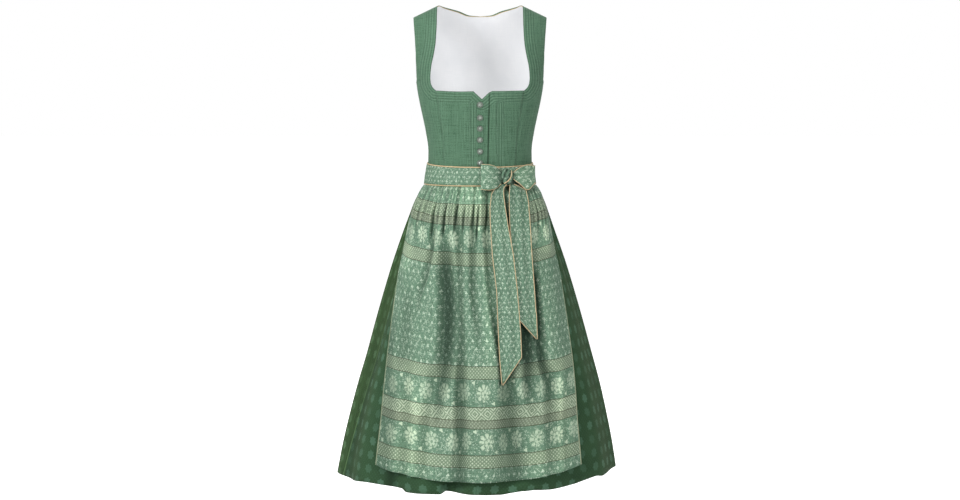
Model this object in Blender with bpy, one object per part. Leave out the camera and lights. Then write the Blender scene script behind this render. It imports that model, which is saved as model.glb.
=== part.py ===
"""A dirndl: a buttoned bodice with straps, a gathered skirt, and an apron tied with a bow.

Metres, +Z up. The origin lies level with the shoulders, on the middle plane. The front faces -Y,
so the wearer's right side is at -X. Every cloth piece is a thin closed wall.
"""
import math

import bmesh
import bpy
from mathutils import Vector

# Driving sizes
SEAM_GAP = 0.0003
BODICE_WALL = 0.0015
LINING_WALL = 0.0010
SKIRT_WALL = 0.0012
APRON_WALL = 0.0012
BAND_WALL = 0.0024
RIBBON_WALL = 0.0012
BUST_HEIGHT = -0.200
WAIST_SEAM = -0.3975
HEM_HEIGHT = -1.105
NECK_HALF_WIDTH = 0.101
SHOULDER_SLOPE = 0.48
SHOULDER_STOP = 0.9975
SIDE_GAP_TURN = 0.0015
ARMHOLE_BOTTOM = -0.176
NECK_CORNER = -0.197
SIDE = math.pi / 2
# Seams of the skirt's five widths, as turns from the middle of the front
SKIRT_SEAMS = {
    "skirt_front_right": (-75, 0),
    "skirt_front_left": (0, 75),
    "skirt_side_left": (75, 145),
    "skirt_centre_back": (145, 215),
    "skirt_side_right": (215, 285),
}
SKIRT_COLUMN = 3.75
LAP = 0.0026
UNDERLAP_END = 0.028
LINING_GAP = 0.0018
LINING_DROP = 0.012
LINING_MARGIN = 0.02
FRONT_KNEE = 0.68
BACK_KNEE = 1.0
BUTTON_HEIGHTS = (-0.2294, -0.2593, -0.2845, -0.3111, -0.3383, -0.3652)
PIPING_RADIUS = 0.0013
PIPING_SIDES = 5
WAIST_STEPS = 48
NORMAL_STEP = 0.004
WELD = 0.00001
TURN_LIMIT = 0.995

# The torso, from the waist seam up: half width, front depth, back depth and squareness of each ring
TORSO = {
    "level": (-0.3975, -0.370, -0.340, -0.300, -0.260, -0.225, -0.200, -0.176, -0.155, -0.100, 0.000),
    "width": (0.1222, 0.1230, 0.1225, 0.1275, 0.1355, 0.1430, 0.1475, 0.1505, 0.1550, 0.1640, 0.1720),
    "front": (0.0890, 0.0895, 0.0915, 0.0985, 0.1095, 0.1170, 0.1190, 0.1190, 0.1190, 0.1190, 0.1190),
    "back": (0.0830, 0.0835, 0.0855, 0.0895, 0.0940, 0.0980, 0.1000, 0.1000, 0.1000, 0.1000, 0.1000),
    "square": (2.25, 2.25, 2.30, 2.35, 2.35, 2.35, 2.35, 2.35, 2.35, 2.35, 2.35),
}

# The skirt's smooth form, from the hem up
SKIRT = {
    "level": (-1.106, -1.035, -0.962, -0.890, -0.817, -0.745, -0.673, -0.601,
              -0.529, -0.4935, -0.458, -0.434, -0.420, -0.410, -0.3978),
    "width": (0.3360, 0.3235, 0.3075, 0.2895, 0.2685, 0.2490, 0.2285, 0.2065,
              0.1815, 0.1685, 0.1550, 0.1420, 0.1300, 0.1268, 0.1222),
    "front": (0.2860, 0.2770, 0.2660, 0.2540, 0.2400, 0.2260, 0.2090, 0.1890,
              0.1660, 0.1520, 0.1350, 0.1180, 0.1000, 0.0950, 0.0890),
    "back": (0.2920, 0.2830, 0.2700, 0.2570, 0.2420, 0.2260, 0.2080, 0.1870,
             0.1630, 0.1480, 0.1300, 0.1120, 0.0940, 0.0890, 0.0830),
    "square": (2.0, 2.0, 2.0, 2.0, 2.0, 2.0, 2.0, 2.0, 2.0, 2.0, 2.05, 2.1, 2.2, 2.25, 2.25),
    "sway": (-0.0075, -0.0060, -0.0045, -0.0030, -0.0020, -0.0020, -0.0020, -0.0020,
             -0.0020, -0.0015, -0.0010, 0.0, 0.0, 0.0, 0.0),
}
HEM_LIFT_LEFT = 0.013

# Depth of the skirt's gathers and of its long flutes, both cut inwards from the smooth form
SKIRT_FOLDS = {
    "level": (-1.106, -0.900, -0.700, -0.560, -0.500, -0.450, -0.425, -0.410, -0.3978),
    "gather": (0.0000, 0.0000, 0.0010, 0.0040, 0.0065, 0.0070, 0.0045, 0.0020, 0.0000),
    "flute": (0.0150, 0.0120, 0.0080, 0.0040, 0.0020, 0.0005, 0.0000, 0.0000, 0.0000),
}
GATHERS = 26
FLUTES = 13
# How far the flutes stray from even spacing, in radians, in slow and in quicker waves
FLUTE_DRIFT = {"waves": (3, 5), "size": (0.09, 0.05), "start": (0.6, 0.0)}
# One deep fold left of the middle, which laps over at its lip and runs out towards the left side
PLEAT = {"turn": math.radians(-16), "width": 0.42, "lip": 0.14, "depth": 0.022, "top": -0.70,
         "height": 0.40}

# The apron: half width across the front, distance out from the skirt, and depth of its folds
APRON = {
    "level": (-1.080, -1.024, -0.956, -0.890, -0.827, -0.747, -0.692, -0.619,
              -0.573, -0.533, -0.485, -0.451, -0.435, -0.4197),
    "half": (0.2430, 0.2375, 0.2300, 0.2245, 0.2180, 0.2075, 0.1995, 0.1880,
             0.1780, 0.1705, 0.1605, 0.1490, 0.1420, 0.1322),
    "lift": (0.0060, 0.0058, 0.0055, 0.0052, 0.0050, 0.0048, 0.0045, 0.0040,
             0.0035, 0.0030, 0.0028, 0.0026, 0.0025, 0.0024),
    "fold": (0.0050, 0.0052, 0.0055, 0.0058, 0.0060, 0.0065, 0.0070, 0.0080,
             0.0090, 0.0100, 0.0105, 0.0080, 0.0045, 0.0000),
}
APRON_CORNER_RISE = 0.0250
APRON_EDGE_FADE = 0.80
TUCKS_END = -0.52
TUCKS_FADE = 0.20
# Fold crests across the apron, as parts of its half width, with each trough's share of the depth
APRON_FOLDS = {
    "place": (-1.00, -0.86, -0.71, -0.58, -0.45, -0.33, -0.21, -0.10,
              0.03, 0.16, 0.28, 0.41, 0.55, 0.70, 0.85, 1.00),
    "depth": (0.6, 0.7, 0.8, 1.0, 1.0, 0.7, 0.9, 0.7, 0.6, 0.9, 0.7, 0.8, 0.9, 0.6, 0.5, 0.5),
    "long": (0.2, 0.3, 0.4, 1.0, 1.0, 0.6, 0.3, 0.5, 0.2, 0.6, 0.3, 0.2, 0.5, 0.3, 0.4, 0.2),
}

BAND = {
    "level": (-0.4165, -0.371),
    "width": (0.1335, 0.1262),
    "front": (0.1045, 0.0930),
    "back": (0.0985, 0.0870),
    "square": (2.2, 2.25),
}
BAND_FRONT_DIP = 0.0060

# Sewing lines of the bodice, as distances from the middle at each level
PRINCESS_FRONT = {
    "level": (-0.3975, -0.300, -0.250, -0.197, -0.185, -0.168, -0.140, -0.110, -0.080, -0.030, 0.0),
    "x": (0.083, 0.088, 0.096, 0.104, 0.1110, 0.1160, 0.1140, 0.1075, 0.1030, 0.1010, 0.1010),
}
PRINCESS_BACK = {
    "level": (-0.3975, -0.300, -0.200, -0.100, 0.0),
    "x": (0.042, 0.046, 0.064, 0.095, 0.127),
}
# Armhole edge, as a turn from the front in degrees
ARMHOLE = {
    "level": (-0.176, -0.1735, -0.168, -0.155, -0.135, -0.100, -0.060, -0.020, 0.0),
    "turn": (90.0, 83.5, 78.5, 74.7, 70.6, 66.6, 65.6, 65.8, 65.9),
}
# Neckline of the overlapping right front, from its side seam to its closing edge
NECK_RIGHT = {
    "x": (-0.104, -0.075, -0.045, -0.0155, -0.0060, 0.0040, 0.0125, 0.0208),
    "level": (NECK_CORNER, -0.1985, -0.1990, -0.1985, -0.2075, -0.2165, -0.2090, -0.2010),
}
LAP_EDGE = {"level": (-0.3975, -0.200), "x": (0.0168, 0.0208)}
# Neckline and outward step of the left front, whose closing edge lies under the right one
NECK_LEFT = {
    "x": (-0.0180, 0.0020, 0.0190, 0.0214, 0.0280, 0.0450, 0.0750, 0.1040),
    "level": (-0.2190, -0.2190, -0.2180, -0.2005, -0.1980, -0.1980, -0.1975, NECK_CORNER),
    "sunk": (LAP, LAP, LAP, LAP, 0.0, 0.0, 0.0, 0.0),
}
NECK_BACK = {
    "x": (0.0, 0.030, 0.055, 0.076, 0.090, 0.101, 0.200),
    "climb": (0.752, 0.775, 0.819, 0.865, 0.915, 1.0, 1.0),
}
# Columns of the centre back, close together where the neckline turns up to the shoulder
NECK_COLUMNS = (0.0, 0.030, 0.056, 0.074, 0.088, 0.101, 0.114, 0.127)

FABRICS = {
    "bodice_linen": ((0.13, 0.24, 0.16), 0.85, 0.0),
    "lining_cotton": ((0.76, 0.77, 0.78), 0.90, 0.0),
    "skirt_cotton": ((0.05, 0.11, 0.06), 0.85, 0.0),
    "apron_jacquard": ((0.21, 0.34, 0.23), 0.60, 0.0),
    "piping_satin": ((0.62, 0.40, 0.17), 0.50, 0.0),
    "button_metal": ((0.42, 0.43, 0.40), 0.40, 1.0),
}


def clear_scene():
    for thing in list(bpy.data.objects):
        bpy.data.objects.remove(thing, do_unlink=True)


def make_finish(name):
    colour, roughness, metallic = FABRICS[name]
    finish = bpy.data.materials.new(name)
    finish.use_nodes = True
    shader = finish.node_tree.nodes["Principled BSDF"]
    shader.inputs["Base Color"].default_value = (*colour, 1.0)
    shader.inputs["Roughness"].default_value = roughness
    shader.inputs["Metallic"].default_value = metallic
    return finish


def mix(low, high, part):
    return low + (high - low) * part


def ease(value):
    value = min(max(value, 0.0), 1.0)
    return value * value * (3 - 2 * value)


def read(table, column, at, key="level", curved=True):
    """Value of a column at a place between the table's rows, on a smooth or a straight line."""
    places = table[key]
    values = table[column]
    if at <= places[0]:
        return values[0]
    if at >= places[-1]:
        return values[-1]
    row = max(index for index in range(len(places) - 1) if places[index] <= at)
    span = places[row + 1] - places[row]
    part = (at - places[row]) / span
    if not curved:
        return mix(values[row], values[row + 1], part)

    def slope(index):
        if index in (0, len(places) - 1):
            near = min(max(index, 1), len(places) - 1)
            return (values[near] - values[near - 1]) / (places[near] - places[near - 1])
        before = (values[index] - values[index - 1]) / (places[index] - places[index - 1])
        after = (values[index + 1] - values[index]) / (places[index + 1] - places[index])
        if before * after <= 0:
            return 0.0
        return 2 * before * after / (before + after)

    square, cube = part * part, part * part * part
    return (values[row] * (2 * cube - 3 * square + 1)
            + values[row + 1] * (3 * square - 2 * cube)
            + slope(row) * span * (cube - 2 * square + part)
            + slope(row + 1) * span * (cube - square))


def between(values, part):
    """Value at a part, from 0 to 1, of the way along a list of evenly spaced values."""
    place = min(max(part, 0.0), 1.0) * (len(values) - 1)
    row = min(int(place), len(values) - 2)
    return mix(values[row], values[row + 1], place - row)


def ring_point(width, depth, square, turn):
    """Point of a squared ellipse, turned from the front (-Y) towards +X."""
    across = math.sin(turn)
    along = max(1.0 - abs(across) ** square, 0.0) ** (1.0 / square)
    return width * across, -math.copysign(depth * along, math.cos(turn))


def torso_point(turn, climb):
    """Outside of the bodice. Climb 0 is the waist seam, 1 the bust line and 2 the shoulder ridge."""
    level = level_of(climb)
    is_front = math.cos(turn) >= 0
    depth = read(TORSO, "front" if is_front else "back", level)
    lean = math.radians(90) * max(climb - 1, 0.0)
    x, y = ring_point(read(TORSO, "width", level), depth * math.cos(lean),
                      read(TORSO, "square", level), turn)
    if climb <= 1:
        return Vector((x, y, level))
    ridge = SHOULDER_SLOPE * (NECK_HALF_WIDTH - abs(x))
    return Vector((x, y, mix(BUST_HEIGHT, ridge, math.sin(lean))))


def level_of(climb):
    if climb <= 1:
        return mix(WAIST_SEAM, BUST_HEIGHT, climb)
    return BUST_HEIGHT * (1 - math.sin(math.radians(90) * (climb - 1)))


def climb_of(level):
    if level <= BUST_HEIGHT:
        return (level - WAIST_SEAM) / (BUST_HEIGHT - WAIST_SEAM)
    return 1 + math.asin(min(1 - level / BUST_HEIGHT, 1.0)) / math.radians(90)


def turn_at(x, level):
    share = x / read(TORSO, "width", level)
    return math.asin(min(max(share, -1.0), 1.0))


def form_point(table, turn, level, out=0.0):
    """Point of a ring table, moved out level with the ground."""
    depth = read(table, "front" if math.cos(turn) >= 0 else "back", level)
    width = read(table, "width", level)
    x, y = ring_point(width, depth, read(table, "square", level), turn)
    away = Vector((x / width ** 2, y / depth ** 2, 0)).normalized()
    sway = read(table, "sway", level) if "sway" in table else 0.0
    return Vector((x + sway, y, level)) + away * out


def wall_of(surface, thickness):
    """A wall whose outer face is the surface, grown inwards along its normals."""
    def place(across, up, inner):
        point = surface(across, up)
        if not inner:
            return point
        before, after = max(across - NORMAL_STEP, 0), min(across + NORMAL_STEP, 1)
        below, above = max(up - NORMAL_STEP, 0), min(up + NORMAL_STEP, 1)
        right = surface(after, up) - surface(before, up)
        rise = surface(across, above) - surface(across, below)
        return point - right.cross(rise).normalized() * thickness

    return place


def cloth(name, finish, place, across, up, is_tube=False):
    """A closed cloth wall. Across and up list the places of its columns and rows from 0 to 1."""
    sheet = bmesh.new()
    columns, rows = len(across) - 1, len(up) - 1
    bmesh.ops.create_grid(sheet, x_segments=columns, y_segments=rows, size=0.5)
    grown = bmesh.ops.extrude_face_region(sheet, geom=sheet.faces[:])["geom"]
    inner = {item for item in grown if isinstance(item, bmesh.types.BMVert)}
    if is_tube:
        ends = [face for face in sheet.faces
                if all(abs(abs(vert.co.x) - 0.5) < 1e-6 for vert in face.verts)]
        bmesh.ops.delete(sheet, geom=ends, context="FACES_ONLY")
    for vert in sheet.verts:
        column = round((vert.co.x + 0.5) * columns)
        row = round((vert.co.y + 0.5) * rows)
        if is_tube and column == columns:
            column = 0
        vert.co = place(across[column], up[row], vert in inner)
    if is_tube:
        bmesh.ops.remove_doubles(sheet, verts=sheet.verts[:], dist=WELD)
    return finish_piece(name, finish, sheet)


def finish_piece(name, finish, sheet, smooth_angle=40):
    bmesh.ops.recalc_face_normals(sheet, faces=sheet.faces[:])
    if sheet.calc_volume(signed=True) < 0:
        bmesh.ops.reverse_faces(sheet, faces=sheet.faces[:])
    mesh = bpy.data.meshes.new(name)
    sheet.to_mesh(mesh)
    sheet.free()
    mesh.materials.append(finish)
    mesh.shade_smooth()
    mesh.set_sharp_from_angle(angle=math.radians(smooth_angle))
    piece = bpy.data.objects.new(name, mesh)
    bpy.context.collection.objects.link(piece)
    return piece


def even(count):
    return [index / count for index in range(count + 1)]


# Bodice

# Rows of the bodice panels, close together where the armhole turns
ARMHOLE_CLIMBS = [climb_of(level) for level in (-0.1735, -0.168, -0.155, -0.135)]
FRONT_CLIMBS = [0.0, 0.17, 0.34, 0.51, 0.68, 0.84, climb_of(NECK_CORNER), climb_of(-0.186),
                climb_of(ARMHOLE_BOTTOM), *ARMHOLE_CLIMBS, 1.30, 1.42, 1.55, 1.68, 1.81, 1.92,
                2 * SHOULDER_STOP]
BACK_CLIMBS = [0.0, 0.2, 0.4, 0.6, 0.8, 1.0, climb_of(ARMHOLE_BOTTOM), *ARMHOLE_CLIMBS,
               1.33, 1.48, 1.63, 1.78, 1.91, 2 * SHOULDER_STOP]


CENTRE_CLIMBS = FRONT_CLIMBS[:FRONT_CLIMBS.index(climb_of(NECK_CORNER)) + 1]


def climb_to(climbs, part, top, knee):
    """Climb at a part of the way up the rows, which spread or close above the knee to end at top."""
    climb = between(climbs, part)
    if climb <= knee:
        return climb
    return mix(knee, top, (climb - knee) / (climbs[-1] - knee))


def side_edge(level):
    """Turn of the side seam, or of the armhole edge above it."""
    if level <= ARMHOLE_BOTTOM:
        return SIDE
    return math.radians(read(ARMHOLE, "turn", level, curved=False))


def side_front(side):
    """Side front with its strap, for the side at +X or -X."""
    def surface(across, up):
        climb = between(FRONT_CLIMBS, up)
        level = level_of(climb)
        inner = turn_at(read(PRINCESS_FRONT, "x", level) + SEAM_GAP / 2, level)
        outer = side_edge(level) - SIDE_GAP_TURN
        return torso_point(side * mix(inner, outer, across if side > 0 else 1 - across), climb)
    return surface


def side_back(side):
    def surface(across, up):
        climb = between(BACK_CLIMBS, up)
        level = level_of(climb)
        inner = turn_at(read(PRINCESS_BACK, "x", level) + SEAM_GAP / 2, level)
        outer = side_edge(level) - SIDE_GAP_TURN
        turn = mix(inner, outer, 1 - across if side > 0 else across)
        return torso_point(math.pi - side * turn, climb)
    return surface


def front_right(across, up):
    x_top = mix(NECK_RIGHT["x"][0], NECK_RIGHT["x"][-1], across)
    top = climb_of(read(NECK_RIGHT, "level", x_top, key="x", curved=False))
    climb = climb_to(CENTRE_CLIMBS, up, top, FRONT_KNEE)
    level = level_of(climb)
    left = -read(PRINCESS_FRONT, "x", level) + SEAM_GAP / 2
    right = read(LAP_EDGE, "x", level)
    return torso_point(turn_at(mix(left, right, across), level), climb)


def front_left(across, up):
    x_top = mix(NECK_LEFT["x"][0], NECK_LEFT["x"][-1], across)
    top = climb_of(read(NECK_LEFT, "level", x_top, key="x", curved=False))
    climb = climb_to(CENTRE_CLIMBS, up, top, FRONT_KNEE)
    level = level_of(climb)
    shift = read(LAP_EDGE, "x", level) - LAP_EDGE["x"][-1]
    right = read(PRINCESS_FRONT, "x", level) - SEAM_GAP / 2
    x = x_top + shift
    if x_top > UNDERLAP_END:
        part = (x_top - UNDERLAP_END) / (NECK_LEFT["x"][-1] - UNDERLAP_END)
        x = mix(UNDERLAP_END + shift, right, part)
    point = torso_point(turn_at(x, level), climb)
    return point + Vector((0, read(NECK_LEFT, "sunk", x_top, key="x", curved=False), 0))


def back_centre(across, up):
    side = 1 if across < 0.5 else -1
    share = abs(2 * across - 1)
    top = 2 * read(NECK_BACK, "climb", share * PRINCESS_BACK["x"][-1], key="x")
    climb = climb_to(BACK_CLIMBS, up, min(top, 2 * SHOULDER_STOP), BACK_KNEE)
    level = level_of(climb)
    x = share * (read(PRINCESS_BACK, "x", level) - SEAM_GAP / 2)
    return torso_point(math.pi - side * turn_at(x, level), climb)


def lining_edge(level):
    return side_edge(level) - LINING_MARGIN


def lining(across, up):
    """Outer face of the back lining, just inside the back of the bodice."""
    side = 1 if across < 0.5 else -1
    share = abs(2 * across - 1)
    x_top = TORSO["width"][-1] * math.sin(share * lining_edge(0))
    top = min(2 * read(NECK_BACK, "climb", x_top, key="x"), 2 * SHOULDER_STOP) - LINING_DROP
    climb = climb_to(BACK_CLIMBS, up, top, BACK_KNEE)
    level = level_of(climb)
    turn = math.pi - side * lining_edge(level) * share
    point = torso_point(turn, climb)
    right = torso_point(turn + NORMAL_STEP, climb) - torso_point(turn - NORMAL_STEP, climb)
    rise = torso_point(turn, climb + NORMAL_STEP) - torso_point(turn, climb - NORMAL_STEP)
    gap = LINING_GAP * (1 + max(climb - 1, 0))
    return point - right.cross(rise).normalized() * (BODICE_WALL + gap)


def mirrored(shares):
    """Places across a whole width, from shares of its half that run from 0 to 1."""
    return [(1 - share) / 2 for share in reversed(shares)] + [(1 + share) / 2 for share in shares[1:]]


def columns_at(table):
    """Places of a neckline table's points, as parts of its whole width."""
    first, last = table["x"][0], table["x"][-1]
    return [(x - first) / (last - first) for x in table["x"]]


def add_bodice(linen, cotton):
    centre_rows = even(len(CENTRE_CLIMBS) - 1)
    back_rows = even(len(BACK_CLIMBS) - 1)
    cloth("bodice_front_right", linen, wall_of(front_right, BODICE_WALL),
          columns_at(NECK_RIGHT), centre_rows)
    cloth("bodice_front_left", linen, wall_of(front_left, BODICE_WALL),
          columns_at(NECK_LEFT), centre_rows)
    for side, label in ((-1, "right"), (1, "left")):
        cloth(f"bodice_side_front_{label}", linen, wall_of(side_front(side), BODICE_WALL),
              even(6), even(len(FRONT_CLIMBS) - 1))
        cloth(f"bodice_side_back_{label}", linen, wall_of(side_back(side), BODICE_WALL),
              even(5), back_rows)
    seam_x = PRINCESS_BACK["x"][-1]
    cloth("bodice_back", linen, wall_of(back_centre, BODICE_WALL),
          mirrored([x / seam_x for x in NECK_COLUMNS]), back_rows)
    top_width = TORSO["width"][-1]
    turns = [math.asin(x / top_width) / lining_edge(0) for x in NECK_COLUMNS]
    cloth("lining_back", cotton, wall_of(lining, LINING_WALL),
          mirrored(turns + [(1 + turns[-1]) / 2, 1.0]), back_rows)


# Buttons

BUTTON_PROFILE = {
    "radius": (0.0000, 0.0050, 0.0066, 0.0070, 0.0062, 0.0040, 0.0015, 0.0000),
    "height": (0.0000, 0.0000, 0.0008, 0.0016, 0.0026, 0.0022, 0.0034, 0.0036),
}


def add_buttons(metal):
    for number, height in enumerate(BUTTON_HEIGHTS, 1):
        climb = climb_of(height)
        above = next(row for row in CENTRE_CLIMBS if row > climb)
        below = CENTRE_CLIMBS[CENTRE_CLIMBS.index(above) - 1]
        low, high = torso_point(0, below), torso_point(0, above)
        seat = low.lerp(high, (climb - below) / (above - below))
        rise = (high - low).normalized()
        facing = Vector((1, 0, 0)).cross(rise).normalized()
        disc = bmesh.new()
        points = [disc.verts.new((radius, 0, out)) for radius, out in
                  zip(BUTTON_PROFILE["radius"], BUTTON_PROFILE["height"])]
        for first, second in zip(points, points[1:]):
            disc.edges.new((first, second))
        bmesh.ops.spin(disc, geom=disc.verts[:] + disc.edges[:], cent=(0, 0, 0), axis=(0, 0, 1),
                       angle=2 * math.pi, steps=10, use_merge=True)
        bmesh.ops.remove_doubles(disc, verts=disc.verts[:], dist=WELD)
        for vert in disc.verts:
            x, y, out = vert.co
            vert.co = seat + facing * (out + SEAM_GAP) + Vector((1, 0, 0)) * x + rise * y
        finish_piece(f"button_{number}", metal, disc)


# Skirt and apron

def skirt_folds(turn, level):
    """How far the skirt's gathers and flutes cut in from its smooth form."""
    gather = 0.5 - 0.5 * math.cos(GATHERS * turn)
    drift = sum(size * math.sin(waves * turn + start) for waves, size, start in
                zip(FLUTE_DRIFT["waves"], FLUTE_DRIFT["size"], FLUTE_DRIFT["start"]))
    flute = 0.5 - 0.5 * math.cos(FLUTES * (turn + drift))
    past = (turn - PLEAT["turn"]) / PLEAT["width"]
    hang = ease((PLEAT["top"] - level) / PLEAT["height"])
    pleat = ease(past / PLEAT["lip"]) * (1 - ease(past)) * hang
    return (read(SKIRT_FOLDS, "gather", level) * gather
            + read(SKIRT_FOLDS, "flute", level) * flute
            + PLEAT["depth"] * pleat)


SKIRT_ROWS = (HEM_HEIGHT, -1.020, -0.930, -0.840, -0.750, -0.660, -0.580, -0.515,
              -0.470, -0.437, -0.421, -0.410, -0.3978)
HEM_ROWS = 6.0


def skirt_panel(first, last):
    def surface(across, up):
        level = between(SKIRT_ROWS, up)
        gap_turn = SEAM_GAP / 2 / read(SKIRT, "back", level)
        turn = mix(first + gap_turn, last - gap_turn, across)
        raised = level + HEM_LIFT_LEFT * max(math.sin(turn), 0) ** 2 * max(1 - up * HEM_ROWS, 0)
        return form_point(SKIRT, turn, raised, -skirt_folds(turn, raised))
    return surface


def apron_folds(share, level):
    """How far out the apron stands over its lowest trough, from 0 to the fold depth."""
    places = APRON_FOLDS["place"]
    share = min(max(share, places[0]), places[-1])
    fold = max(index for index in range(len(places) - 1) if places[index] <= share)
    part = (share - places[fold]) / (places[fold + 1] - places[fold])
    trough = 0.5 - 0.5 * math.cos(2 * math.pi * part)
    high = mix(APRON_FOLDS["depth"][fold], APRON_FOLDS["long"][fold],
               ease((TUCKS_END - level) / TUCKS_FADE))
    edge = 1 - ease((abs(share) - APRON_EDGE_FADE) / (1 - APRON_EDGE_FADE))
    return read(APRON, "fold", level) * (1 - high * trough) * edge


# Rows of the apron from the hem up, with each row's share of the rise towards the corners
APRON_ROWS = {
    "height": (-1.080, -1.020, -0.930, -0.840, -0.750, -0.660, -0.580, -0.545, -0.515,
               -0.4925, -0.470, -0.452, -0.437, -0.428, -0.4197),
    "rise": (1.0, 0.75, 0.45, 0.2, 0.05, 0.0, 0.0, 0.0, 0.0, 0.0, 0.0, 0.0, 0.0, 0.0, 0.0),
}


def apron_level(share, up):
    rise = APRON_CORNER_RISE * between(APRON_ROWS["rise"], up) * share * share
    return between(APRON_ROWS["height"], up) + rise


def apron_out(share, level):
    return read(APRON, "lift", level) + APRON_WALL + apron_folds(share, level)


def apron_surface(across, up):
    share = 2 * across - 1
    level = apron_level(share, up)
    width = read(SKIRT, "width", level) + read(APRON, "lift", level)
    edge = math.asin(min(read(APRON, "half", level) / width, TURN_LIMIT))
    return form_point(SKIRT, share * edge, level, apron_out(share, level))


def add_skirt(cotton, jacquard):
    rows = even(len(SKIRT_ROWS) - 1)
    for name, (first, last) in SKIRT_SEAMS.items():
        panel = skirt_panel(math.radians(first), math.radians(last))
        cloth(name, cotton, wall_of(panel, SKIRT_WALL), even(round((last - first) / SKIRT_COLUMN)),
              rows)
    folds = APRON_FOLDS["place"]
    across = [0.0]
    for first, second in zip(folds, folds[1:]):
        across += [(mix(first, second, part) + 1) / 2 for part in (0.25, 0.5, 0.75, 1.0)]
    cloth("apron", jacquard, wall_of(apron_surface, APRON_WALL), across,
          even(len(APRON_ROWS["height"]) - 1))


# Apron band with its piping

def band_top(turn):
    return BAND["level"][-1] - BAND_FRONT_DIP * max(math.cos(turn), 0)


def band_point(turn, level, out=0.0):
    return form_point(BAND, turn, level, out)


def band_surface(across, up):
    turn = 2 * math.pi * across
    return band_point(turn, mix(BAND["level"][0], band_top(turn), up))


def piping_place(edge_level, side):
    """A cord just clear of the band's edge, which runs round the waist."""
    def place(turn_part, section_part):
        turn = 2 * math.pi * turn_part
        centre = band_point(turn, edge_level(turn), -BAND_WALL / 2)
        centre.z += side * (PIPING_RADIUS + SEAM_GAP)
        away = band_point(turn, edge_level(turn), 1.0) - band_point(turn, edge_level(turn))
        angle = 2 * math.pi * section_part
        return centre + (away * math.cos(angle) + Vector((0, 0, 1)) * math.sin(angle)) * PIPING_RADIUS
    return place


def piping(name, finish, edge_level, side):
    place = piping_place(edge_level, side)
    cord = bmesh.new()
    rings = [[cord.verts.new(place(step / WAIST_STEPS, corner / PIPING_SIDES))
              for corner in range(PIPING_SIDES)] for step in range(WAIST_STEPS)]
    for step, ring in enumerate(rings):
        following = rings[(step + 1) % WAIST_STEPS]
        for corner in range(PIPING_SIDES):
            other = (corner + 1) % PIPING_SIDES
            cord.faces.new((ring[corner], following[corner], following[other], ring[other]))
    finish_piece(name, finish, cord, smooth_angle=70)


def add_band(jacquard, satin):
    cloth("apron_band", jacquard, wall_of(band_surface, BAND_WALL), even(WAIST_STEPS),
          even(2),
          is_tube=True)
    piping("band_piping_top", satin, band_top, 1)
    piping("band_piping_bottom", satin, lambda turn: BAND["level"][0], -1)


# Bow

# Each loop: its section is an oval lying along the band, from the knot to the far end
LOOPS = {
    "bow_loop_right": {
        "part": (0.0, 0.30, 0.65, 1.0),
        "x": (0.0502, 0.0380, 0.0200, 0.0028),
        "top": (-0.3850, -0.3745, -0.3690, -0.3680),
        "bottom": (-0.4100, -0.4220, -0.4255, -0.4240),
    },
    "bow_loop_left": {
        "part": (0.0, 0.30, 0.65, 1.0),
        "x": (0.0788, 0.0940, 0.1130, 0.1305),
        "top": (-0.3870, -0.3765, -0.3710, -0.3750),
        "bottom": (-0.4020, -0.4130, -0.4270, -0.4120),
    },
}
BED = {"low": -0.436, "high": -0.382}
LOOP_DEPTH = 0.0110
LOOP_CLEARANCE = 0.0012


def at_distance(table, x, level, out):
    """Point of a ring table at a distance across from the middle, moved out."""
    sway = read(table, "sway", level) if "sway" in table else 0.0
    turn = math.asin(min((x - sway) / (read(table, "width", level) + out), TURN_LIMIT))
    return form_point(table, turn, level, out)


def crest(level):
    """How far the crests of the apron's folds stand out from the skirt's smooth form."""
    level = max(level, APRON["level"][0])
    return read(APRON, "lift", level) + APRON_WALL + read(APRON, "fold", level)


def bed_point(x, level, out):
    """What the bow lies on: the band, then a lean outwards over the gathers, then the apron."""
    if level <= BED["low"]:
        return at_distance(SKIRT, x, level, crest(level) + out)
    if level >= BED["high"]:
        return at_distance(BAND, x, level, out)
    low = at_distance(SKIRT, x, BED["low"], crest(BED["low"]) + out)
    high = at_distance(BAND, x, BED["high"], out)
    return low.lerp(high, (level - BED["low"]) / (BED["high"] - BED["low"]))


def loop_place(loop):
    """Across runs round the oval section, and up along its height."""
    def place(across, up, inner):
        angle = 2 * math.pi * across
        shrink = RIBBON_WALL if inner else 0.0
        half_length = 0.5 - shrink / abs(loop["x"][-1] - loop["x"][0])
        part = 0.5 - half_length * math.cos(angle)
        x = read(loop, "x", part, key="part")
        bottom = read(loop, "bottom", part, key="part")
        top = read(loop, "top", part, key="part")
        half_depth = LOOP_DEPTH / 2 - shrink
        out = LOOP_CLEARANCE + LOOP_DEPTH / 2 + half_depth * math.sin(angle)
        return bed_point(x, mix(bottom, top, up), out)
    return place


# Each tail: left and right edge at each level, from the tip up to the knot
TAILS = {
    "bow_tail_long": {
        "level": (-0.8606, -0.8310, -0.7447, -0.6505, -0.5707, -0.5044, -0.4648, -0.4353,
                  -0.4220, -0.4135),
        "left": (0.0505, 0.0467, 0.0420, 0.0382, 0.0285, 0.0242, 0.0233, 0.0270, 0.0350, 0.0500),
        "right": (0.0525, 0.0960, 0.0935, 0.0860, 0.0770, 0.0650, 0.0590, 0.0555, 0.0560, 0.0630),
        "out": 0.0074,
    },
    "bow_tail_short": {
        "level": (-0.7621, -0.7400, -0.6980, -0.6505, -0.5772, -0.5000, -0.4520, -0.4280,
                  -0.4180, -0.4135),
        "left": (0.1290, 0.0830, 0.0815, 0.0790, 0.0750, 0.0690, 0.0683, 0.0690, 0.0700, 0.0700),
        "right": (0.1315, 0.1322, 0.1287, 0.1257, 0.1204, 0.1165, 0.1133, 0.1080, 0.0900, 0.0790),
        "out": 0.0034,
    },
}
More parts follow.
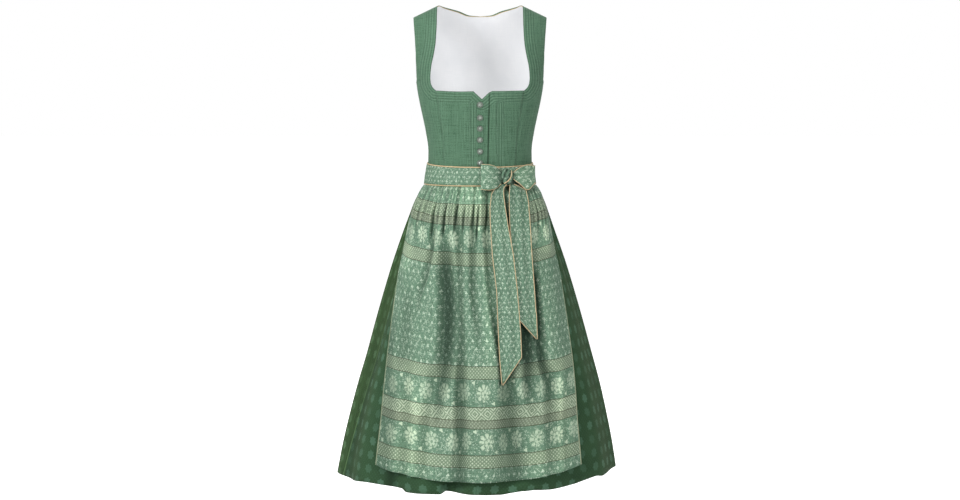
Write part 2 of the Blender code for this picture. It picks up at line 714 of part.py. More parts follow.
TAIL_ROWS = (-0.8606, -0.8310, -0.8000, -0.7621, -0.7400, -0.6980, -0.6505, -0.6140, -0.5772,
             -0.5400, -0.5000, -0.4700, -0.4520, -0.4353, -0.4280, -0.4200, -0.4135)


TAIL_RUFFLE = 0.0012


def tail_surface(tail, rows):
    """A ribbon hanging in front of the apron's fold crests, with two soft lengthwise troughs."""
    def surface(across, up):
        level = between(rows, up)
        left = read(tail, "left", level, curved=False)
        right = read(tail, "right", level, curved=False)
        x = mix(left, right, across)
        ruffle = TAIL_RUFFLE * math.cos(4 * math.pi * across)
        return bed_point(x, level, tail["out"] + ruffle)
    return surface


KNOT = {"x": (0.0506, 0.0784), "z": (-0.4128, -0.3790), "out": (0.0006, 0.0160),
        "fullness": 0.75, "pinch": 0.10}


def add_knot(jacquard):
    """A soft pillow of wound ribbon, between the loops and above the tails."""
    knot = bmesh.new()
    bmesh.ops.create_uvsphere(knot, u_segments=12, v_segments=8, radius=1.0)
    for vert in knot.verts:
        across, out, up = (math.copysign(abs(value) ** KNOT["fullness"], value) for value in vert.co)
        pinch = 1 - KNOT["pinch"] * up * up
        x = mix(*KNOT["x"], 0.5 + 0.5 * across * pinch)
        level = mix(*KNOT["z"], 0.5 + 0.5 * up)
        vert.co = bed_point(x, level, mix(*KNOT["out"], 0.5 - 0.5 * out))
    finish_piece("bow_knot", jacquard, knot)


def add_bow(jacquard):
    for name, loop in LOOPS.items():
        cloth(name, jacquard, loop_place(loop), even(18), even(3), is_tube=True)
    for name, tail in TAILS.items():
        rows = [level for level in TAIL_ROWS if level >= tail["level"][0]]
        cloth(name, jacquard, wall_of(tail_surface(tail, rows), RIBBON_WALL), even(6),
              even(len(rows) - 1))
    add_knot(jacquard)


def build_dress():
    clear_scene()
    finish = {name: make_finish(name) for name in FABRICS}
    add_bodice(finish["bodice_linen"], finish["lining_cotton"])
    add_buttons(finish["button_metal"])
    add_skirt(finish["skirt_cotton"], finish["apron_jacquard"])
    add_band(finish["apron_jacquard"], finish["piping_satin"])
    add_bow(finish["apron_jacquard"])


build_dress()
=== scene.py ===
from functools import partial
from math import asin, atan2, copysign, cos, degrees, exp, hypot, pi, radians, sin, tau

import bmesh
import bpy
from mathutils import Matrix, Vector, noise


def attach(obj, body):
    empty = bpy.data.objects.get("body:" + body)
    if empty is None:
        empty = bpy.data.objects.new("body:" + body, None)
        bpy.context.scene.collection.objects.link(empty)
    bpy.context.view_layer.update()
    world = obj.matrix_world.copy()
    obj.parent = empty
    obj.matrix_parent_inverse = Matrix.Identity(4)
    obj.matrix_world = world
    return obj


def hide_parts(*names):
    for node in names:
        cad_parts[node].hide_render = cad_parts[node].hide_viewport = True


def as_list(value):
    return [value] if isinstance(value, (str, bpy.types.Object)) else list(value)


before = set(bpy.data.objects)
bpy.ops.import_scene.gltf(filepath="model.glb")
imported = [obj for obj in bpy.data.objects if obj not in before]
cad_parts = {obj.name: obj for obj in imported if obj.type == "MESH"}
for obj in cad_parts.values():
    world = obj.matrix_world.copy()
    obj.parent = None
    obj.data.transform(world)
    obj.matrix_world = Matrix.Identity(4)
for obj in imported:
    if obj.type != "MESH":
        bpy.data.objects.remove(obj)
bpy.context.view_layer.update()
print("frame loaded:", len(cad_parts), "nodes")


# Small helpers

def milli(**columns):
    # A table given in thousandths, where one number stands for a whole column
    rows = len(next(iter(columns.values())))
    return {label: tuple(value / 1000 for value in (
        given if isinstance(given, tuple) else (given,) * rows))
        for label, given in columns.items()}


def mix(low, high, part):
    return low + (high - low) * part


def clamp(value):
    return min(max(value, 0.0), 1.0)


def ease(value):
    value = clamp(value)
    return value * value * (3 - 2 * value)


def wave(turn):
    # 0 at the zero of the turn and 1 half a round on
    return 0.5 - 0.5 * cos(turn)


def even(count):
    return [index / count for index in range(count + 1)]


def finer(places, count):
    # Each stretch between two places is cut into count even steps
    return [mix(first, second, part / count) for first, second in zip(places, places[1:])
            for part in range(count)] + [places[-1]]


def evenRows(values, count):
    return finer(even(len(values) - 1), count)


def between(values, part):
    place = clamp(part) * (len(values) - 1)
    row = min(int(place), len(values) - 2)
    return mix(values[row], values[row + 1], place - row)


def slopeAt(places, values, index):
    def slope(row):
        return (values[row] - values[row - 1]) / (places[row] - places[row - 1])

    last = len(places) - 1
    if index in (0, last):
        return slope(min(max(index, 1), last))
    before, after = slope(index), slope(index + 1)
    return 0.0 if before * after <= 0 else 2 * before * after / (before + after)


readings = {}


def read(table, column, at, key="level", curved=True):
    # Value of a column between the table's rows, on a smooth or a straight line
    asked = (id(table), column, round(at, 5), curved)
    if asked in readings:
        return readings[asked]
    places, values = table[key], table[column]
    if at <= places[0]:
        found = values[0]
    elif at >= places[-1]:
        found = values[-1]
    else:
        row = max(index for index in range(len(places) - 1) if places[index] <= at)
        span = places[row + 1] - places[row]
        part = (at - places[row]) / span
        found = mix(values[row], values[row + 1], part)
        if curved:
            square, cube = part ** 2, part ** 3
            found = (values[row] * (2 * cube - 3 * square + 1)
                     + values[row + 1] * (3 * square - 2 * cube)
                     + slopeAt(places, values, row) * span * (cube - 2 * square + part)
                     + slopeAt(places, values, row + 1) * span * (cube - square))
    readings[asked] = found
    return found


def ringPoint(width, depth, square, turn):
    # A squared ellipse, turned from the front towards +X
    across = sin(turn)
    along = max(1.0 - abs(across) ** square, 0.0) ** (1.0 / square)
    return width * across, -copysign(depth * along, cos(turn))


def readRing(table, turn, level):
    depth = read(table, "front" if cos(turn) >= 0 else "back", level)
    return read(table, "width", level), depth, read(table, "square", level)


def formPoint(table, turn, level, out=0.0):
    width, depth, square = readRing(table, turn, level)
    x, y = ringPoint(width, depth, square, turn)
    away = Vector((x / width ** 2, y / depth ** 2, 0)).normalized()
    return Vector((x + read(table, "sway", level), y, level)) + away * out


def atDistance(table, x, level, out):
    share = (x - read(table, "sway", level)) / (read(table, "width", level) + out)
    return formPoint(table, asin(min(share, 0.995)), level, out)


def snake(name):
    return "".join("_" + letter.lower() if letter.isupper() else letter for letter in name)[1:]


def link(name, data):
    thing = bpy.data.objects.new(name, data)
    bpy.context.collection.objects.link(thing)
    return thing


def faceOutward(sheet):
    if sheet.calc_volume(signed=True) < 0:
        bmesh.ops.reverse_faces(sheet, faces=sheet.faces[:])


def finishPiece(name, sheet, cloth, node=None):
    # The cloth is a material with the name of its slot
    material, slotName = cloth
    mesh = bpy.data.meshes.new(name)
    sheet.to_mesh(mesh)
    sheet.free()
    mesh.shade_smooth()
    mesh.materials.append(material)
    piece = link(name, mesh)
    if node:
        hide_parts(node)
    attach(piece, "root")
    return piece


def makeSheet(name, node, cloth, place, across, up, thickness, cut, relief=None, marks=None,
              closed=False):
    # A grid laid on the form, with its cloth length in metres as UV, then given its thickness
    sheet = bmesh.new()
    columns, rows = len(across) - 1, len(up) - 1
    bmesh.ops.create_grid(sheet, x_segments=columns, y_segments=rows, size=0.5)
    flat = sheet.loops.layers.uv.new("cloth")
    layers = {label: sheet.verts.layers.float.new(label) for label in marks or {}}
    spots = {vert: (across[round((vert.co.x + 0.5) * columns)],
                    up[round((vert.co.y + 0.5) * rows)]) for vert in sheet.verts}
    for vert, spot in spots.items():
        vert.co = place(*spot)
    laid = {vert: cut(*spot, vert.co) for vert, spot in spots.items()}
    for face in sheet.faces:
        for loop in face.loops:
            loop[flat].uv = laid[loop.vert]
    for label, layer in layers.items():
        for vert, spot in spots.items():
            vert[layer] = marks[label](*spot, vert.co)
    if relief:
        sheet.normal_update()
        lifted = [(vert, vert.normal * relief(spot[0])) for vert, spot in spots.items()]
        for vert, move in lifted:
            vert.co += move
    if closed:
        bmesh.ops.remove_doubles(sheet, verts=sheet.verts[:], dist=0.00002)
    piece = finishPiece(name, sheet, cloth, node)
    wall = piece.modifiers.new("Thickness", "SOLIDIFY")
    wall.thickness = thickness
    wall.offset = -1
    return piece


def makeCord(name, node, points, radius, cyclic=False):
    # A round cord along the points, made a mesh at once
    line = bpy.data.curves.new(name, "CURVE")
    line.dimensions = "3D"
    line.bevel_depth = radius
    line.bevel_resolution = 2
    line.use_fill_caps = not cyclic
    spline = line.splines.new("POLY")
    spline.points.add(len(points) - 1)
    for point, place in zip(spline.points, points):
        point.co = (*place, 1.0)
    spline.use_cyclic_u = cyclic
    holder = link(name, line)
    bpy.context.view_layer.update()
    cord = bmesh.new()
    cord.from_mesh(bpy.data.meshes.new_from_object(
        holder.evaluated_get(bpy.context.evaluated_depsgraph_get())))
    bpy.data.objects.remove(holder, do_unlink=True)
    bmesh.ops.remove_doubles(cord, verts=cord.verts[:], dist=0.00001)
    bmesh.ops.recalc_face_normals(cord, faces=cord.faces[:])
    return finishPiece(name, cord, satinCord, node)


# Node building, in the tree that lies on the desk

desk = {}


class Wire:
    # What a node gives, which can be added and multiplied like a number
    def __init__(self, socket):
        self.socket = socket

    __add__ = __radd__ = lambda self, other: calc("ADD", self, other)
    __mul__ = __rmul__ = lambda self, other: calc("MULTIPLY", self, other)
    __sub__ = lambda self, other: calc("SUBTRACT", self, other)
    __rsub__ = lambda self, other: calc("SUBTRACT", other, self)
    __truediv__ = lambda self, other: calc("DIVIDE", self, other)
    __gt__ = lambda self, other: calc("GREATER_THAN", self, other)
    __lt__ = lambda self, other: calc("LESS_THAN", self, other)
    __abs__ = lambda self: calc("ABSOLUTE", self)


def feed(socket, value):
    if isinstance(value, Wire):
        desk["tree"].links.new(value.socket, socket)
    else:
        socket.default_value = value


def addNode(kind, given=(), **settings):
    # A new node with its settings, fed by the number or the name of its sockets
    node = desk["tree"].nodes.new("ShaderNode" + kind)
    for label, value in settings.items():
        setattr(node, label, value)
    for place, value in dict(given).items():
        feed(node.inputs[place], value)
    return node.outputs


def calc(operation, *values):
    return Wire(addNode("Math", enumerate(values), operation=operation)[0])


def fade(value, start, end):
    # 0 at the start and 1 at the end, with a soft change between them
    return Wire(addNode("MapRange", {"Value": value, "From Min": start, "From Max": end},
                        interpolation_type="SMOOTHSTEP")["Result"])


def mixTone(value, low, high):
    return Wire(addNode("MapRange", {"Value": value, "To Min": low, "To Max": high})["Result"])


def most(values):
    total, *others = values
    for value in others:
        total = calc("MAXIMUM", total, value)
    return total


def layered(form, colour, *coats):
    # Each coat is its mask and its colour, with "MULTIPLY" for shade and light. A colour is a
    # name in the form's values or another node's.
    def tone(value):
        return (*form[value], 1.0) if isinstance(value, str) else value

    for mask, coat, *mode in coats:
        given = {"Factor": mask, 6: tone(colour), 7: tone(coat)}
        colour = Wire(addNode("Mix", given, data_type="RGBA",
                              blend_type=(mode or ["MIX"])[0])[2])
    return colour


def joined(*values):
    return Wire(addNode("CombineXYZ", enumerate(values))[0])


def split(vector, kind="XYZ"):
    return [Wire(socket) for socket in addNode("Separate" + kind, {0: vector})]


def addNoise(vector, scale=1.0, detail=2.0, roughness=0.5):
    return Wire(addNode("TexNoise", {"Vector": vector, "Scale": scale, "Detail": detail,
                                     "Roughness": roughness})[0])


def makeGroup(name, draw, *takes):
    # A group of nodes from a function that takes its inputs and gives its outputs by name
    tree = desk["tree"] = bpy.data.node_groups.new(name, "ShaderNodeTree")
    for label in takes:
        kind = "Vector" if label == "Vector" else "Float"
        tree.interface.new_socket(label, in_out="INPUT", socket_type="NodeSocket" + kind)
    drawn = draw(*map(Wire, list(tree.nodes.new("NodeGroupInput").outputs)[:len(takes)]))
    for label in drawn:
        tree.interface.new_socket(label, in_out="OUTPUT", socket_type="NodeSocketFloat")
    result = tree.nodes.new("NodeGroupOutput").inputs
    for label, value in drawn.items():
        feed(result[label], value)
    return tree


def useGroup(group, **values):
    return {socket.name: Wire(socket) for socket in addNode("Group", values, node_tree=group)}


def cellOffset(value, size, shift=0.0):
    # Distance from the middle of the nearest cell, and the number of that cell
    number = calc("ROUND", (value + shift) / size)
    return value - (number * size - shift), number


def drawPetals(x, y, radius, lobes, depth, turn):
    # A round flower with lobes, drawn about the zero of X and Y
    half = (calc("ARCTAN2", y, x) + turn) * lobes * 0.5
    notch = 1.0 - abs(calc("COSINE", half))
    reach = calc("SQRT", x * x + y * y) / (radius * (1.0 - depth * (notch * 2.0)))
    return {"Mask": fade(reach, 1.08, 0.86), "Reach": reach,
            "Vein": fade(notch, 0.5, 0.78) * fade(reach, 0.4, 0.7)}


def drawWeave(vector, thread, slub):
    # Threads that go over and under each other, with their uneven dye
    u, v = (value / thread for value in split(vector)[:2])
    height = calc("SINE", u * tau) * calc("SINE", v * tau)
    warp = addNoise(joined(u * 0.5, v * 0.02))
    weft = addNoise(joined(u * 0.02, v * 0.5))
    return {"Height": height * 0.5 + 0.5, "Tone": (warp + weft - 1.0) * slub + 0.5}


def drawSprigs(vector, across, along, size, lobes, depth, stem, stagger):
    # Small sprigs, staggered over the cloth: an open head on a short stem
    u, v = split(vector)[:2]
    masks = []
    for half in (0.0, 0.5):
        x, column = cellOffset(u, across, across * half)
        y, row = cellOffset(v, along, along * (stagger * (2 * half)))
        dice = Wire(addNode("TexWhiteNoise", {"Vector": joined(column, row, half)})["Color"])
        lean, strength = split(dice, "Color")[:2]
        y = y / size
        x = y * (lean * 0.5 - 0.25) + x / size
        head = useGroup(petalGroup, X=x, Y=y - 0.2, Radius=1.0, Lobes=lobes, Depth=depth,
                        Turn=-pi / 2)
        stalk = fade(abs(x), 0.26, 0.1) * fade(abs(y + 1.0), 0.55, 0.35)
        drawn = most([head["Mask"] - fade(head["Reach"], 0.4, 0.16) * stem, stalk * stem])
        masks.append(drawn * (strength * 0.7 + 0.35))
    return {"Mask": most(masks)}


def drawLattice(vector, across, along, rings, middle):
    # Diamonds within diamonds, as woven borders have
    u, v = split(vector)[:2]
    sums = [abs(calc("FRACT", value / size + 0.5) - 0.5)
            for value, size in ((u, across), (v - middle, along))]
    ring = (sums[0] + sums[1]) * rings
    return {"Mask": fade(calc("COSINE", ring * tau), -0.5, 0.5)}


def drawSeeds(vector, size):
    # Fine light and dark flecks of a figured ground
    u, v = split(vector)[:2]
    flecks = addNode("TexVoronoi", {"Vector": joined((u + v) / size, (v - u) / size),
                                    "Scale": 1.0})
    chosen = split(Wire(flecks["Color"]), "Color")[0]
    dot = fade(Wire(flecks["Distance"]), 0.62, 0.3)
    return {"Light": dot * fade(chosen, 0.5, 0.8), "Dark": dot * fade(chosen, 0.4, 0.1)}


petalGroup = makeGroup("Petals", drawPetals, "X", "Y", "Radius", "Lobes", "Depth", "Turn")
weaveGroup = makeGroup("Weave", drawWeave, "Vector", "Thread", "Slub")
sprigGroup = makeGroup("Sprigs", drawSprigs, "Vector", "Across", "Along", "Size", "Lobes",
                       "Depth", "Stem", "Stagger")
latticeGroup = makeGroup("Lattice", drawLattice, "Vector", "Across", "Along", "Rings", "Middle")
seedGroup = makeGroup("Seeds", drawSeeds, "Vector", "Size")


def startMaterial(name, roughness, sheen=0.0, sheenTint=(1.0, 1.0, 1.0), metallic=0.0):
    material = desk["material"] = bpy.data.materials.new(name)
    material.use_nodes = True
    desk["tree"] = material.node_tree
    shader = material.node_tree.nodes["Principled BSDF"].inputs
    for label, value in (("Roughness", roughness), ("Metallic", metallic),
                         ("Sheen Weight", sheen), ("Sheen Tint", (*sheenTint, 1.0)),
                         ("Specular IOR Level", 0.2)):
        shader[label].default_value = value
    return shader


def finishMaterial(shader, colour, height, distance, strength=1.0, roughness=None):
    feed(shader["Base Color"], colour)
    if roughness:
        feed(shader["Roughness"], roughness)
    bump = addNode("Bump", {"Strength": strength, "Distance": distance, "Height": height})
    feed(shader["Normal"], Wire(bump[0]))
    return desk["material"]


def startCloth(name, form, *finish):
    # The shader of a woven cloth, the place on the cloth and its weave
    shader = startMaterial(name, *finish)
    cloth = Wire(addNode("UVMap", uv_map="cloth")[0])
    weave = useGroup(weaveGroup, Vector=cloth, Thread=form["thread"], Slub=form["slub"])
    return shader, cloth, weave


def motif(group, cloth, sizes):
    return useGroup(group, Vector=cloth, **sizes)["Mask"]


def readObject():
    return Wire(addNode("TexCoord")["Object"])


def readMark(label):
    return Wire(addNode("Attribute", attribute_name=label)["Fac"])


# Linen of the bodice: fine lengthwise ribs, and rows of topstitching along the neckline
linen = dict(
    colour=(0.082, 0.17, 0.104), ribColour=(0.118, 0.226, 0.145),
    stitchColour=(0.165, 0.285, 0.195), grooveColour=(0.042, 0.098, 0.056),
    deep=(0.18, 0.24, 0.21), thread=0.0009, slub=0.55, slubDensity=420.0, ribWidth=0.003,
    rowWidth=0.006, rows=4.5, relief=0.0006)


def makeLinen():
    shader, cloth, weave = startCloth("Bodice linen", linen, 0.82, 0.15, (0.6, 0.8, 0.65))
    u, v = split(cloth)[:2]
    rib = fade(addNoise(joined(u / linen["ribWidth"], v * 9.0), 1.0, 3.0, 0.65), 0.36, 0.7)
    slubs = addNoise(joined(u * linen["slubDensity"], v * linen["slubDensity"]), 1.0, 1.0)
    edge = readMark("edgeDistance")
    rows = edge / linen["rowWidth"]
    inRow = abs(calc("FRACT", rows + 0.5) - 0.5)
    isSewn = fade(rows, linen["rows"] + 0.02, linen["rows"] - 0.02)
    groove = fade(inRow, 0.24, 0.08) * isSewn
    colour = layered(
        linen, "colour",
        (rib * 0.7, "ribColour"),
        (fade(slubs * 0.45 + weave["Tone"], 0.78, 0.52), "grooveColour"),
        # Painted shade on the left front just past the edge of the overlapping right front
        (readMark("paintedShade"), "deep", "MULTIPLY"),
        (groove * 0.4, "grooveColour"),
        (fade(edge, 0.0016, 0.0006) * 0.45, "grooveColour"),
        (fade(inRow, 0.3, 0.46) * isSewn * 0.4, "stitchColour"))
    height = weave["Height"] * 0.15 + rib * 0.45 - groove * 0.9
    return finishMaterial(shader, colour, height, linen["relief"])


# Plain cotton behind the back of the bodice. It glows in its own colour, which is painted light
# that evens out the shade inside the bodice.
lining = dict(colour=(0.425, 0.425, 0.436), foldColour=(0.395, 0.398, 0.412), glow=1.06,
              thread=0.0007, slub=0.35, softness=14.0)


def makeLiningCotton():
    shader, cloth, weave = startCloth("Lining cotton", lining, 0.9, 0.1)
    soft = addNoise(cloth, lining["softness"], 3.0)
    colour = layered(lining, "colour", (fade(soft, 0.35, 0.75), "foldColour"),
                     (fade(weave["Tone"], 0.6, 0.3), "foldColour"))
    # Painted light: the lining glows in its own colour
    feed(shader["Emission Color"], colour)
    shader["Emission Strength"].default_value = lining["glow"]
    return finishMaterial(shader, colour, weave["Height"] * 0.2 + soft, 0.0008, 0.5)


# Cotton satin of the skirt, with sprigs tone on tone. On its left side a pale line is a painted
# highlight along a fold's lit edge, and the cloth past it is painted a yellower green, as sheen.
skirtCloth = dict(
    colour=(0.014, 0.045, 0.018), lightColour=(0.034, 0.086, 0.036),
    sprigColour=(0.082, 0.182, 0.115), deep=(0.3, 0.4, 0.36), thread=0.001, slub=0.5, clouds=22.0,
    ring=dict(Across=0.009, Along=0.009, Rings=1.0, Middle=0.0),
    sprig=dict(Across=0.084, Along=0.0315, Size=0.0112, Lobes=7.0, Depth=0.14, Stem=0.0,
               Stagger=0.0),
    highlightPlace=-0.278, highlightSlope=0.149, highlightColour=(0.115, 0.215, 0.085),
    sheenTone=(1.12, 1.03, 0.76), turnLength=0.335)


def makeSkirtCotton():
    shader, cloth, weave = startCloth("Skirt cotton", skirtCloth, 0.7, 0.07, (0.7, 0.85, 0.42))
    sprig = motif(sprigGroup, cloth, skirtCloth["sprig"])
    ring = motif(latticeGroup, cloth, skirtCloth["ring"])
    u, v = split(cloth)[:2]
    full = tau * skirtCloth["turnLength"]
    u = u - (u > full / 2) * full
    # Distance from the line of the painted highlight
    seam = u - (v * skirtCloth["highlightSlope"] + skirtCloth["highlightPlace"])
    colour = layered(
        skirtCloth, "colour",
        (addNoise(cloth, skirtCloth["clouds"], 3.0), "lightColour"),
        (ring * 0.1, "sprigColour"),
        (sprig * mixTone(weave["Tone"], 0.3, 0.85), "sprigColour"),
        # Painted sheen: past the line the cloth turns a yellower green
        (fade(seam, 0.0, -0.004) * fade(u, -0.68, -0.56), "sheenTone", "MULTIPLY"),
        # Painted highlight along the lit edge of a fold
        (fade(abs(seam), 0.003, 0.0012) * 0.8, "highlightColour"),
        # Painted shade in the deep tone, in the folds and under the apron's hem
        (readMark("paintedShade"), "deep", "MULTIPLY"))
    return finishMaterial(shader, colour, sprig * 0.6 + weave["Height"] * 0.3, 0.0003,
                          roughness=sprig * -0.12 + 0.74)


# Figured cloth of the apron, the band and the bow. The borders run from their low to their
# high edge, by height at the middle of the apron.
# The lit tone brightens the cloth as painted highlight and the deep tone darkens it as painted
# shade
jacquard = dict(
    ground=(0.12, 0.216, 0.142), shade=(0.066, 0.136, 0.086), pale=(0.54, 0.66, 0.52),
    bloomPale=(0.5, 0.61, 0.45), band=(0.16, 0.228, 0.146), bandPale=(0.57, 0.66, 0.5),
    greyBand=(0.16, 0.203, 0.138), line=(0.05, 0.055, 0.028), edge=(0.43, 0.47, 0.3),
    lit=(1.75, 1.7, 1.65), deep=(0.1, 0.155, 0.125), thread=0.0012, slub=0.6, seed=0.0044,
    relief=0.0004, sprig=dict(Lobes=3.0, Depth=0.34, Stem=0.7, Stagger=0.5), lineWidth=0.0011,
    edgeWidth=0.0045, apronWidth=0.56)
borders = dict(
    lattice=((-0.4875, -0.459), (-0.596, -0.568), (-0.8483, -0.8205), (-1.047, -1.019)),
    rings=((-0.9405, -0.911),), grey=((-0.505, -0.4875), (-0.959, -0.9405)),
    flowers=((-0.568, -0.505), (-0.911, -0.8483), (-1.019, -0.959)))
lattices = dict(small=dict(Across=0.0082, Along=0.0084, Rings=1.0, Middle=-0.4732),
                wide=dict(Across=0.03, Along=0.0295, Rings=4.0, Middle=-0.92575))
sprigSizes = dict(apron=dict(Across=0.0182, Along=0.0355, Size=0.0037),
                  ribbon=dict(Across=0.012, Along=0.0215, Size=0.0026))
bloom = dict(spacing=0.0505, radius=0.0178, tall=1.16, budRadius=0.0046, budHeight=0.0235,
             shifts=(0.0, 0.011, 0.0105), duller=0.24, wobble=0.0022, inner=0.58)


def drawBlooms(u, v, middle, shift):
    # One row of open flowers, with a bud above or below between each two
    radius = bloom["radius"]
    x, number = cellOffset(u, bloom["spacing"], shift)
    v = v - middle
    y = (v + calc("SINE", number * 2.1) * bloom["wobble"]) / bloom["tall"]
    flower = useGroup(petalGroup, X=x, Y=y, Radius=radius, Lobes=8.0, Depth=0.1,
                      Turn=number * 1.3)
    inner = useGroup(petalGroup, X=calc("SINE", number * 1.9) * (radius * 0.22) + x,
                     Y=y + radius * 0.16, Radius=radius * bloom["inner"], Lobes=6.0, Depth=0.12,
                     Turn=number * 2.7)
    rim = fade(abs(inner["Reach"] - 1.0), 0.2, 0.06)
    thread = addNoise(joined(x * 700.0, y * 420.0), 1.0, 1.0)
    dark = most([flower["Vein"], fade(inner["Reach"], 0.42, 0.22) * 0.9,
                 most([rim, inner["Vein"]]) * 0.75, fade(thread, 0.5, 0.66) * 0.5])
    full = calc("PINGPONG", number, 1.0) * -bloom["duller"] + 1.0
    xBud, budNumber = cellOffset(u, bloom["spacing"], shift + bloom["spacing"] / 2)
    side = calc("PINGPONG", budNumber, 1.0) * 2.0 - 1.0
    bud = useGroup(petalGroup, X=xBud, Y=side * bloom["budHeight"] + v,
                   Radius=bloom["budRadius"], Lobes=3.0, Depth=0.25, Turn=side)["Mask"]
    return most([flower["Mask"] * (1.0 - dark) * full, bud])


def makeJacquard(name, hasBorders):
    shader, cloth, weave = startCloth(name, jacquard, 0.55, 0.06, (0.8, 0.95, 0.85))
    u, v = split(cloth)[:2]
    seeds = useGroup(seedGroup, Vector=cloth, Size=jacquard["seed"])
    sizes = sprigSizes["apron" if hasBorders else "ribbon"]
    figure = motif(sprigGroup, cloth, {**jacquard["sprig"], **sizes})
    coats = [(seeds["Dark"], "shade"), (seeds["Light"] * 0.52, "pale"), (figure, "pale")]
    raised = figure
    if hasBorders:
        masks = {kind: most([(v > low) * (v < high) for low, high in rows])
                 for kind, rows in borders.items()}
        blooms = most([drawBlooms(u, v, (low + high) / 2, shift) for (low, high), shift
                       in zip(borders["flowers"], bloom["shifts"])]) * masks["flowers"]
        figure = figure * (1.0 - most(masks.values()))
        small, wide = (motif(latticeGroup, cloth, given) for given in lattices.values())
        fleck = (seeds["Light"] - seeds["Dark"]) * 0.45 + 0.55
        drawn = (small * most([masks["lattice"], masks["grey"]])
                 + wide * masks["rings"]) * fleck
        banded = layered(jacquard, "band", (drawn, "bandPale"))
        greyed = layered(jacquard, "greyBand", (drawn * 0.6, "bandPale"))
        width = jacquard["lineWidth"]
        lines = most([fade(abs(v - edge), width, width * 0.5) for edge in
                      sorted({edge for rows in borders.values() for row in rows for edge in row})])
        inward = calc("MINIMUM", u, jacquard["apronWidth"] - u)
        selvedge = fade(inward, jacquard["edgeWidth"], 0.002) * fade(v, -0.6, -0.72)
        coats[2:] = [(blooms * 0.92, "bloomPale"), (figure, "pale"),
                     (most([masks["lattice"], masks["rings"]]), banded),
                     (masks["grey"], greyed), (lines * 0.85, "line"), (selvedge * 0.7, "edge")]
        raised = most([figure, blooms, drawn])
    coats += [(1.0, mixTone(weave["Tone"], 0.82, 1.18), "MULTIPLY"),
              # Painted highlight on the crests in the lit tone, and painted shade in the deep tone
              (readMark("crest"), "lit", "MULTIPLY"), (readMark("paintedShade"), "deep", "MULTIPLY")]
    return finishMaterial(shader, layered(jacquard, "ground", *coats),
                          raised * 0.7 + weave["Height"] * 0.3, jacquard["relief"],
                          roughness=raised * -0.16 + 0.6)


# Golden satin cord
satin = dict(colour=(0.52, 0.37, 0.19), lightColour=(0.76, 0.6, 0.38), pitch=0.003)


def makeSatin():
    shader = startMaterial("Piping satin", 0.42, 0.2, (1.0, 0.9, 0.7))
    spot = readObject()
    x, y, z = split(spot)
    twist = calc("SINE", (x + y + z) * (tau / satin["pitch"]))
    uneven = addNoise(spot, 160.0)
    colour = layered(satin, "colour", (twist * 0.18 + uneven, "lightColour"))
    return finishMaterial(shader, colour, twist, 0.0002, roughness=uneven * 0.2 + 0.34)


# Aged silver buttons
silver = dict(colour=(0.25, 0.29, 0.25), wornColour=(0.56, 0.6, 0.55),
              darkColour=(0.045, 0.065, 0.05))


def makeSilver():
    shader = startMaterial("Aged silver", 0.42, metallic=0.85)
    relief = readMark("relief")
    grain = addNoise(readObject(), 900.0, 3.0)
    colour = layered(silver, "darkColour", (fade(relief + grain, 0.6, 1.2), "colour"),
                     (fade(relief, 0.6, 1.0), "wornColour"))
    return finishMaterial(shader, colour, grain, 0.0002, 0.6, relief * -0.25 + 0.55)


# Each finish with the name of its slot
linenCloth = makeLinen(), "bodice_linen"
liningCloth = makeLiningCotton(), "lining_cotton"
skirtCotton = makeSkirtCotton(), "skirt_cotton"
apronCloth = makeJacquard("Apron jacquard", True), "apron_jacquard"
ribbonCloth = makeJacquard("Ribbon jacquard", False), "apron_jacquard"
satinCord = makeSatin(), "piping_satin"
agedSilver = makeSilver(), "button_metal"
print("materials made")

# Bodice. The torso's rings go up from the waist seam: half width, depths and squareness.
torso = milli(
    level=(-397.5, -370, -340, -300, -260, -225, -200, -176, -155, -100, 0),
    width=(122.2, 123, 122.5, 127.5, 135.5, 143, 147.5, 150.5, 155, 164, 172),
    front=(89, 89.5, 91.5, 98.5, 109.5, 117, 119, 119, 119, 119, 119),
    back=(83, 83.5, 85.5, 89.5, 94, 98, 100, 100, 100, 100, 100),
    square=(2250, 2250, 2300, 2350, 2350, 2350, 2350, 2350, 2350, 2350, 2350))
bodice = dict(
    waistSeam=-0.3975, bustHeight=-0.2, armholeBottom=-0.176, neckCorner=-0.197,
    neckHalfWidth=0.101, shoulderSlope=0.48, shoulderStop=0.9996, knee=0.68, seamGap=0.0003,
    sideGapTurn=0.0002, underlapEnd=0.028, wall=0.0015, seamDip=0.0004, seamWidth=0.0022,
    rowsPerStep=3)
princessFront = milli(
    level=(-397.5, -300, -250, -197, -194.5, -188.5, -179, -168, -140, -110, -80, -30, 0),
    x=(83, 88, 96, 103, 106.2, 111.5, 115.3, 116.3, 114, 107.5, 103, 101, 101))
princessBack = milli(
    level=(-397.5, -300, -200, -100, 0),
    x=(42, 46, 64, 95, 127))
armhole = dict(
    **milli(
        level=(-176, -173.5, -168, -155, -135, -100, -60, -20, 0)),
    turn=(90.0, 83.5, 78.5, 74.7, 70.6, 66.6, 65.6, 65.8, 65.9))
neckRight = milli(
    x=(-104, -75, -45, -15.5, -6, 4, 12.5, 20.8),
    level=(-197, -198.5, -199, -198.5, -207.5, -216.5, -209, -201))
neckLeft = milli(
    x=(-18, 2, 19, 21.4, 28, 45, 75, 104),
    level=(-219, -219, -218, -200.5, -198, -198, -197.5, -197),
    sunk=(2.6, 2.6, 2.6, 2.6, 0, 0, 0, 0))
lapEdge = milli(
    level=(-397.5, -200),
    x=(16.8, 20.8))
neckBack = milli(
    x=(0, 30, 55, 76, 90, 101, 200),
    climb=(752, 775, 819, 865, 915, 1000, 1000))
neckColumns = (0.0, 0.03, 0.056, 0.074, 0.088, 0.101, 0.114, 0.127)


